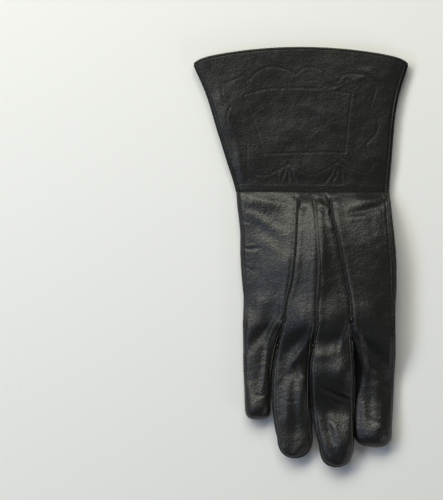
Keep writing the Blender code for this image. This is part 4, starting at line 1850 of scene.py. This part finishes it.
    def sew_fingers(
        self, sewing: Sewing, face: Face, surface: BVHTree, insets: tuple[float, float], pitch: float
    ) -> None:
        """Lays stitches round the fingers.

        Args:
            sewing: The stitches.
            face: The glove's side.
            surface: Its surface.
            insets: How far from the edge they run, on the two middle and on the two outer fingers.
            pitch: The distance from one stitch to the next.
        """
        middle_inset, outer_inset = insets
        for finger in range(LAST + 1):
            strand = self.strands[face, finger][self.form.hand_rows :]
            if 0 < finger < LAST:
                path = dropped(line_inside_rim(strand[self.unstitched_rows :], middle_inset), surface, face)
            else:
                path = line_round_finger(strand, outer_inset)
            sewing.sew(path, surface, pitch)

    def sew_back(self, surface: BVHTree) -> Sewing:
        """The stitches round the backs of the fingers.

        Args:
            surface: The back's surface.

        Returns:
            The stitches.
        """
        sewing = Sewing("stitches_back", self.stitch_length, self.edge_thread)
        self.sew_fingers(sewing, Face.BACK, surface, (self.edge_inset, self.hidden_inset), self.pitch)
        return sewing

    def sew_points(self, surface: BVHTree) -> Sewing:
        """The stitches beside the raised points and the side seams of the hand.

        Args:
            surface: The back's surface.

        Returns:
            The stitches.
        """
        sewing = Sewing("stitches_points", self.stitch_length)
        hand = slice(round(self.point_start * self.form.hand_rows), self.form.hand_rows)
        for finger in range(LAST + 1):
            strand = self.strands[Face.BACK, finger]
            for rows, at_point in ((strand[hand], finger > 0), (strand[hand, ::-1], finger < LAST)):
                inset = self.point_stitch_inset if at_point else self.stitch_inset
                sewing.sew(line_beside(rows, inset), surface, self.pitch)
        return sewing

    def sew_palm(self, surface: BVHTree) -> Sewing:
        """The stitches beside the seams of the palm and round the thumb's hole.

        Args:
            surface: The palm's surface.

        Returns:
            The stitches.
        """
        sewing = Sewing("stitches_palm")
        insets = (self.stitch_inset, self.stitch_inset)
        self.sew_fingers(sewing, Face.PALM, surface, insets, self.palm_pitch)
        around = self.form.hole(np.linspace(0, 2 * np.pi, self.hole_stitch_samples), -self.stitch_inset)
        sewing.sew(dropped(around, surface, Face.PALM), surface, self.palm_pitch)
        return sewing


FRAME_TOP_LEFT = (250, 80)
OUTER_FRAME = (
    (FRAME_TOP_LEFT, (243, 77), (233, 81), (223, 85), (222, 91), (224, 101), (230, 107.6)),
    ((230, 107.6), (227, 117), (228, 127), (235, 136), (247, 144)),
    ((247, 144), (247, 155), (247.5, 167), (255, 174), (265, 176), (277, 171), (287.4, 164.7)),
    ((287.4, 164.7), (299, 171), (309, 174.7), (319, 173), (337.4, 162.6)),
    ((337.4, 162.6), (347, 168), (360, 173), (369, 171), (372, 163), (367, 153), (366, 144)),
    ((366, 144), (376, 133), (377, 121), (370, 107)),
    ((370, 107), (375, 90), (370, 81), (362, 76), (350, 75), (343, 76), (337, 83)),
    ((337, 83), (327, 76), (316, 69), (304, 69), (295.5, 75.5)),
    ((295.5, 75.5), (284, 70), (269, 68), (257, 73), FRAME_TOP_LEFT),
)
INNER_FRAME = (
    ((244, 96), (266, 90), (289, 89), (315, 89), (329, 91), (351, 95)),
    ((351, 95), (346.7, 130), (344.6, 153.3)),
    ((344.6, 153.3), (309, 153), (264, 154.7)),
    ((264, 154.7), (254.6, 124), (244, 96)),
)
PALM_FRAME = (
    ((245.6, 100), (273, 95), (301, 92), (327, 94), (352, 99)),
    ((352, 99), (348, 128), (344, 158)),
    ((344, 158), (302, 159), (260, 161)),
    ((260, 161), (253, 130), (245.6, 100)),
)
CUFF_FORMS = (
    Crease((286, 167), (283, 176), (280, 184), 0.8, -0.2),
    Crease((288, 168), (288, 176), (288, 184), 0.8, -0.2),
    Crease((290, 168), (293, 177), (296, 184), 0.8, -0.2),
    Crease((335, 166), (330, 175), (324, 184), 0.9, -0.24),
    Crease((337, 167), (335, 176), (331, 185), 0.9, -0.24),
    Crease((339, 167), (341, 176), (342, 184), 0.8, -0.22),
    Crease((316, 88), (330, 91), (344, 86), 0.9, 0.3),
    Crease((357, 70), (368, 73), (378, 82), 2.0, 0.45),
    Crease((352, 82), (364, 78), (374, 86), 1.6, 0.3),
    Crease((336, 158), (345, 164), (355, 174), 1.0, 0.4),
    Crease((300, 106), (318, 114), (336, 130), 3.0, 0.4),
    Crease((282, 140), (286, 142), (291, 141), 1.6, 0.3),
    Crease((236, 140), (239, 162), (243, 186), 3.0, 0.6),
    Crease((206, 72), (222, 100), (236, 140), 4.0, 0.5),
    Swelling((222, 114), 9, 14, 0.7, 20),
    Swelling((320, 122), 28, 20, 0.6, 20),
    Swelling((275, 110), 22, 14, -0.5),
    Swelling((300, 172), 30, 6, 0.5),
    Swelling((385, 120), 6, 24, 0.5),
)


@dataclass
class Cuff:
    """The flared cuff: its two panels with their stitched frames, and the binding round its mouth."""

    form: GloveForm
    hem_length: float = 3.4 * MM
    hem_fall: float = 0.5 * MM
    hem_reach: float = 1.2
    hem_fade: float = 0.8 * MM
    hem_line: float = 0.28 * MM
    hem_line_width: float = 0.4 * MM
    hem_line_gap: float = 0.6 * MM
    frame_depth: float = 0.26 * MM
    frame_width: float = 0.5 * MM
    frame_samples: float = 1.0 * MM
    side_samples: float = 0.4 * MM
    pillow: float = 0.06 * MM
    pillow_width: float = 4 * MM
    stitch_inset: float = 1.9 * MM
    stitch_length: float = 1.7 * MM
    thread: float = 0.42 * MM
    frame_pitch: float = 2.1 * MM
    unstitched_columns: int = 3
    binding_radius: float = 0.85 * MM
    binding_sides: int = 12
    roll: SeamRoll = SeamRoll(ridge=0.65, ridge_at=0.75, ridge_width=0.45, stitch_depth=0.5, stitch_at=1.8)
    crumples: tuple[Crumple, ...] = (Crumple(24, 0.7), Crumple(7, 0.22), Crumple(3, 0.08))

    def __post_init__(self) -> None:
        """Lays out both panels and the skin that they make."""
        self.sheets = {face: self.form.cuff(face) for face in Face}
        self.skin = Skin()
        for face, sheet in self.sheets.items():
            self.skin.lay(face.named("cuff"), sheet)
        self.skin.weld()

    def frame_paths(self, runs: Iterable[Sequence[Place]]) -> list[Array]:
        """The smooth runs of a stitched frame, on the ground."""
        return [smooth_path(PLAN.ground(run), self.frame_samples) for run in runs]

    def build_panel(self, face: Face, frames: list[Array]) -> LeatherPanel:
        """One panel with its hem, its side seams and its stitched frames.

        Args:
            face: The glove's side.
            frames: The frames' paths on the ground.

        Returns:
            The shaped panel.
        """
        name = face.named("cuff")
        panel = LeatherPanel(name, self.skin.cut(name))
        sheet = self.sheets[face]
        sides = np.vstack([smooth_path(sheet[:, edge], self.side_samples) for edge in (0, -1)])
        distance = panel.distances(sides)
        share = ramp(distance, 0, SEAM_FADE)
        panel.roll_into(distance, self.roll)
        above_wrist = panel.ground[:, 1] - self.form.wrist_middle.y
        above_hem = above_wrist - self.hem_length
        fall = np.clip(1 - above_wrist / self.hem_length, 0, self.hem_reach) ** 2
        panel.heights -= self.hem_fall * fall * share
        panel.heights += self.hem_line * bell(above_hem, self.hem_line_width) * share
        panel.heights -= self.hem_line * bell(above_hem + self.hem_line_gap, self.hem_line_width) * share
        past_hem = share * ramp(above_hem, 0, self.hem_fade)
        panel.relieve(CUFF_FORMS, past_hem)
        for path in frames:
            panel.press_line(path, self.frame_depth, self.frame_width)
            panel.press_line(path, -self.pillow, self.pillow_width)
        panel.crumple(self.crumples, past_hem)
        panel.shape()
        return panel

    def sew_panel(self, face: Face, frames: list[Array], surface: BVHTree) -> Sewing:
        """The stitches of the frames, the hem, the mouth and the side seams.

        Args:
            face: The glove's side.
            frames: The frames' paths on the ground.
            surface: The panel's surface.

        Returns:
            The stitches.
        """
        sewing = Sewing(face.named("stitches_cuff"), self.stitch_length, self.thread)
        sheet = self.sheets[face]
        for path in frames:
            sewing.sew(dropped(path, surface, face), surface, self.frame_pitch)
        from_hem = np.swapaxes(sheet, 0, 1)
        clear_of_sides = slice(self.unstitched_columns, -self.unstitched_columns)
        hem = line_beside(from_hem, self.hem_length + self.form.hem_overlap)
        mouth = line_beside(from_hem[:, ::-1], self.stitch_inset)
        for path in (hem, mouth):
            sewing.sew(path[clear_of_sides], surface)
        for rows in (sheet, sheet[:, ::-1]):
            sewing.sew(line_beside(rows, self.stitch_inset), surface)
        return sewing

    def build_binding(self) -> bmesh.types.BMesh:
        """The rolled binding, along the mouth of both panels.

        Returns:
            Its mesh, a closed tube.
        """
        mouth = np.vstack([self.sheets[Face.BACK][-1], self.sheets[Face.PALM][-1][::-1][1:]])
        section = self.form.section(1)
        middle = self.form.wrist_middle
        edge = section.depth / 2
        inner_x = np.clip(mouth[:, 0], middle.x + section.left + edge, middle.x + section.right - edge)
        inner_z = middle.z + self.form.seam_height * section.depth
        inward = np.column_stack([inner_x - mouth[:, 0], np.zeros(len(mouth)), inner_z - mouth[:, 2]])
        inward /= np.linalg.norm(inward, axis=1)[:, None]
        centres = mouth + inward * self.form.leather / 2
        centres[:, 1] += self.binding_radius + self.form.seam_gap / 2
        centres[:, 2] = np.maximum(centres[:, 2], self.binding_radius)
        run = np.roll(centres[:-1], -1, axis=0) - np.roll(centres[:-1], 1, axis=0)
        run = np.vstack([run, run[:1]])
        run /= np.linalg.norm(run, axis=1)[:, None]
        forward = np.array([0.0, 1.0, 0.0]) - run * run[:, 1:2]
        forward /= np.linalg.norm(forward, axis=1)[:, None]
        upright = np.cross(run, forward)
        turns = np.linspace(0, 2 * np.pi, self.binding_sides + 1)[:, None]
        rings = [
            centre + self.binding_radius * (np.cos(turns) * ahead + np.sin(turns) * up)
            for centre, ahead, up in zip(centres, forward, upright)
        ]
        binding = Skin()
        binding.lay("mouth_binding", np.array(rings))
        binding.weld()
        return binding.cut("mouth_binding")


@dataclass
class Thumb:
    """The thumb, set into the palm's hole and folded flat under the palm.

    Its side seam runs from the ring seam_start to seam_stop rings before the last.
    """

    form: GloveForm
    sides: int = 72
    rings: int = 96
    neck_rings: int = 8
    end_shares: tuple[float, ...] = (0.3, 0.6, 0.85, 1.0)
    seam_start: int = 20
    seam_stop: int = 6
    seam_samples: float = 0.6 * MM
    tip_fade: float = 6 * MM
    roll: SeamRoll = SeamRoll(sink=0.5)
    crumples: tuple[Crumple, ...] = (Crumple(14, 0.5), Crumple(5, 0.16))

    def palm_heights(self, places: Array) -> Array:
        """The height of the palm's underside.

        Args:
            places: X and Y of the places.

        Returns:
            The height at each place.
        """
        form = self.form
        root = np.array([form.palm_length])
        heights = []
        for x, y in places - np.array(form.wrist_middle.xy):
            along = max(-1.0, y / form.palm_length)
            section = form.section(along)
            angle = form.angle_at(mix(1.0, -1.0, (x - section.left) / (section.right - section.left)))
            heights.append(form.body_points(Face.PALM, along, np.array([angle]), root)[0, 2])
        return np.array(heights) + form.wrist_middle.z

    def rows(self) -> Array:
        """The thumb's skin, from inside the hole over the neck and the rings to its closed tip.

        Returns:
            The points by row and by place round the thumb.
        """
        form = self.form
        angles = np.linspace(0, 2 * np.pi, self.sides + 1)
        rim = form.hole(angles, form.seam_gap)
        height = self.palm_heights(rim)
        rows = [np.column_stack([rim, height + rise]) for rise in (form.leather, -form.seam_gap)]
        first = form.thumb_ring(0, angles)
        for share in np.linspace(0, 1, self.neck_rings + 2)[1:-1]:
            rows.append(mix(rows[1], first, share))
        rows += [form.thumb_ring(along, angles) for along in np.linspace(0, 1, self.rings)]
        end = rows[-1]
        rows += [mix(end, end.mean(axis=0), share) for share in self.end_shares]
        return np.array(rows)

    def build(self) -> LeatherPanel:
        """The thumb with its side seam.

        Returns:
            The shaped panel.
        """
        points = self.rows()
        skin = Skin()
        skin.lay("thumb", points)
        skin.weld()
        panel = LeatherPanel("thumb", skin.cut("thumb"))
        off_tip = ramp(np.linalg.norm(panel.places - points[-1, 0], axis=1), 0, self.tip_fade)
        sewn = points[self.seam_start : -self.seam_stop]
        seam = smooth_path(np.vstack([sewn[:, 0], sewn[:, self.sides // 2]]), self.seam_samples)
        panel.roll_into(panel.distances(seam), self.roll, off_tip)
        panel.crumple(self.crumples, off_tip)
        panel.shape()
        return panel


@dataclass(frozen=True)
class Softbox:
    """A soft light, aimed at the glove."""

    name: str
    direction: float
    elevation: float
    distance: float
    width: float
    height: float
    power: float
    colour: Colour

    def place(self) -> None:
        """Puts the light at its distance from the glove's middle."""
        light = bpy.data.lights.new(self.name, "AREA")
        light.shape = "RECTANGLE"
        light.size = self.width
        light.size_y = self.height
        light.energy = self.power
        light.color = self.colour
        turn, rise = math.radians(self.direction), math.radians(self.elevation)
        away = Vector((math.cos(rise) * math.cos(turn), math.cos(rise) * math.sin(turn), math.sin(rise)))
        lamp = bpy.data.objects.new(self.name, light)
        lamp.location = away * self.distance
        lamp.rotation_euler = away.to_track_quat("Z", "Y").to_euler()
        bpy.context.scene.collection.objects.link(lamp)


@dataclass(frozen=True)
class Studio:
    """A pale floor, soft light and a camera straight above."""

    floor_size: float = 8.0
    floor_colour: Colour = (0.86, 0.86, 0.86)
    floor_roughness: float = 0.9
    sky: Colour = (0.93, 0.96, 1.0)
    sky_strength: float = 0.088
    camera_height: float = 1.9
    sensor: float = 24.0
    view_centre: Place = (221.5, 250)
    view_rows: int = 500
    lights: tuple[Softbox, ...] = (
        Softbox("key", 106, 47, 1.6, 1.4, 0.7, 18.5, (0.98, 0.975, 0.86)),
        Softbox("left", 152, 48, 1.7, 0.9, 0.6, 9.4, (1.0, 0.985, 0.87)),
        Softbox("side", 200, 46, 1.5, 0.6, 0.3, 3.2, (0.5, 0.66, 1.0)),
        Softbox("fill", 320, 24, 1.8, 1.2, 0.6, 3.5, (0.98, 0.98, 1.0)),
    )

    def build(self) -> None:
        """Makes the floor, the world, the lights and the camera."""
        self.lay_floor()
        self.make_sky()
        for light in self.lights:
            light.place()
        self.set_camera()

    def lay_floor(self) -> None:
        """Lays the pale floor."""
        bm = bmesh.new()
        bmesh.ops.create_grid(bm, x_segments=1, y_segments=1, size=self.floor_size / 2)
        mesh = bpy.data.meshes.new("floor")
        bm.to_mesh(mesh)
        bm.free()
        material = bpy.data.materials.new("pale_floor")
        material.use_nodes = True
        paint = {"Base_Color": (*self.floor_colour, 1), "Roughness": self.floor_roughness}
        Effect(material.node_tree).set(material.node_tree.nodes["Principled BSDF"], **paint)
        mesh.materials.append(material)
        floor = bpy.data.objects.new("floor", mesh)
        bpy.context.scene.collection.objects.link(floor)

    def make_sky(self) -> None:
        """Makes the world with its weak, even light."""
        world = bpy.data.worlds.new("studio")
        world.use_nodes = True
        sky = {"Color": (*self.sky, 1), "Strength": self.sky_strength}
        Effect(world.node_tree).set(world.node_tree.nodes["Background"], **sky)
        bpy.context.scene.world = world

    def set_camera(self) -> None:
        """Sets the camera straight above the middle of the view."""
        scene = bpy.context.scene
        scene.view_settings.view_transform = "Standard"
        across, along = PLAN.ground([self.view_centre])[0]
        lens = bpy.data.cameras.new("camera")
        lens.sensor_fit = "VERTICAL"
        lens.sensor_height = self.sensor
        lens.lens = self.sensor * self.camera_height / (self.view_rows * PLAN.scale)
        camera = bpy.data.objects.new("camera", lens)
        camera.location = (across, along, self.camera_height)
        scene.collection.objects.link(camera)
        scene.camera = camera


# The leather's dark and light tones: mottle and speckle move between them at random. The relief paints
# raised places towards the light tone as a highlight, and creases towards the dark tone as shade.
BLACK = (0.003, 0.003, 0.0028)
LIT_AND_MOTTLED_BLACK = (0.010, 0.010, 0.0085)


def main() -> None:
    """Builds the glove's pieces from the fingers to the cuff, and the studio round them."""
    logging.basicConfig(level=logging.INFO, format="%(name)s: %(message)s")
    Grain().group()
    back = LeatherFinish("back_leather", BLACK, LIT_AND_MOTTLED_BLACK).material()
    palm = LeatherFinish("palm_leather", BLACK, LIT_AND_MOTTLED_BLACK, dullest=0.54).material()
    # The fourchettes' darker, slightly blue tones are painted shade of the deep gaps between the fingers.
    soft = LeatherFinish("fourchette_leather", (0.002, 0.002, 0.0022), (0.006, 0.006, 0.0065)).material()
    firm = LeatherFinish(
        "cuff_leather",
        BLACK,
        # The cuff's light tone, reached through random mottle and the painted highlight on raised relief.
        (0.010, 0.010, 0.0092),
        dullest=0.54,
        pebbles=800.0,
        wrinkles=300.0,
        grain_depth=0.23 * MM,
        sheen=0.4,
    ).material()
    # The binding's lighter tones are a painted highlight along the top of its roll.
    edge = LeatherFinish("binding_leather", (0.012, 0.012, 0.012), (0.03, 0.03, 0.028)).material()
    thread = ThreadFinish().material()
    # The hand's stitches are grey rather than black: a painted glint on the black thread.
    glinting_thread = ThreadFinish("thread_painted_glint", (0.08, 0.08, 0.075), (0.18, 0.18, 0.165)).material()
    point_thread = ThreadFinish("point_thread", (0.02, 0.02, 0.019), (0.06, 0.06, 0.056)).material()
    form = GloveForm()

    hand = Hand(form)
    hand_back = hand.build_back()
    back_surface = hand_back.surface()
    hand.sew_back(back_surface).finish(glinting_thread, "hand_back")
    hand.sew_points(back_surface).finish(point_thread, "hand_back")
    hand_back.finish(form.leather, back, "hand_back")
    hand_palm = hand.build_palm()
    hand.sew_palm(hand_palm.surface()).finish(glinting_thread, "hand_palm")
    hand_palm.finish(form.leather, palm, "hand_palm")
    for gap in range(LAST):
        hand.build_fourchette(gap).finish(form.leather, soft, "fourchette")
    Thumb(form).build().finish(form.leather, back, "thumb")

    cuff = Cuff(form)
    frames = {Face.BACK: (*OUTER_FRAME, *INNER_FRAME), Face.PALM: PALM_FRAME}
    for face, runs in frames.items():
        paths = cuff.frame_paths(runs)
        panel = cuff.build_panel(face, paths)
        cuff.sew_panel(face, paths, panel.surface()).finish(thread, "cuff")
        panel.finish(form.leather, firm, "cuff")
    binding = add_piece("mouth_binding_leather", cuff.build_binding(), edge)
    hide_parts("mouth_binding")

    Studio().build()


if __name__ == "__main__":
    main()
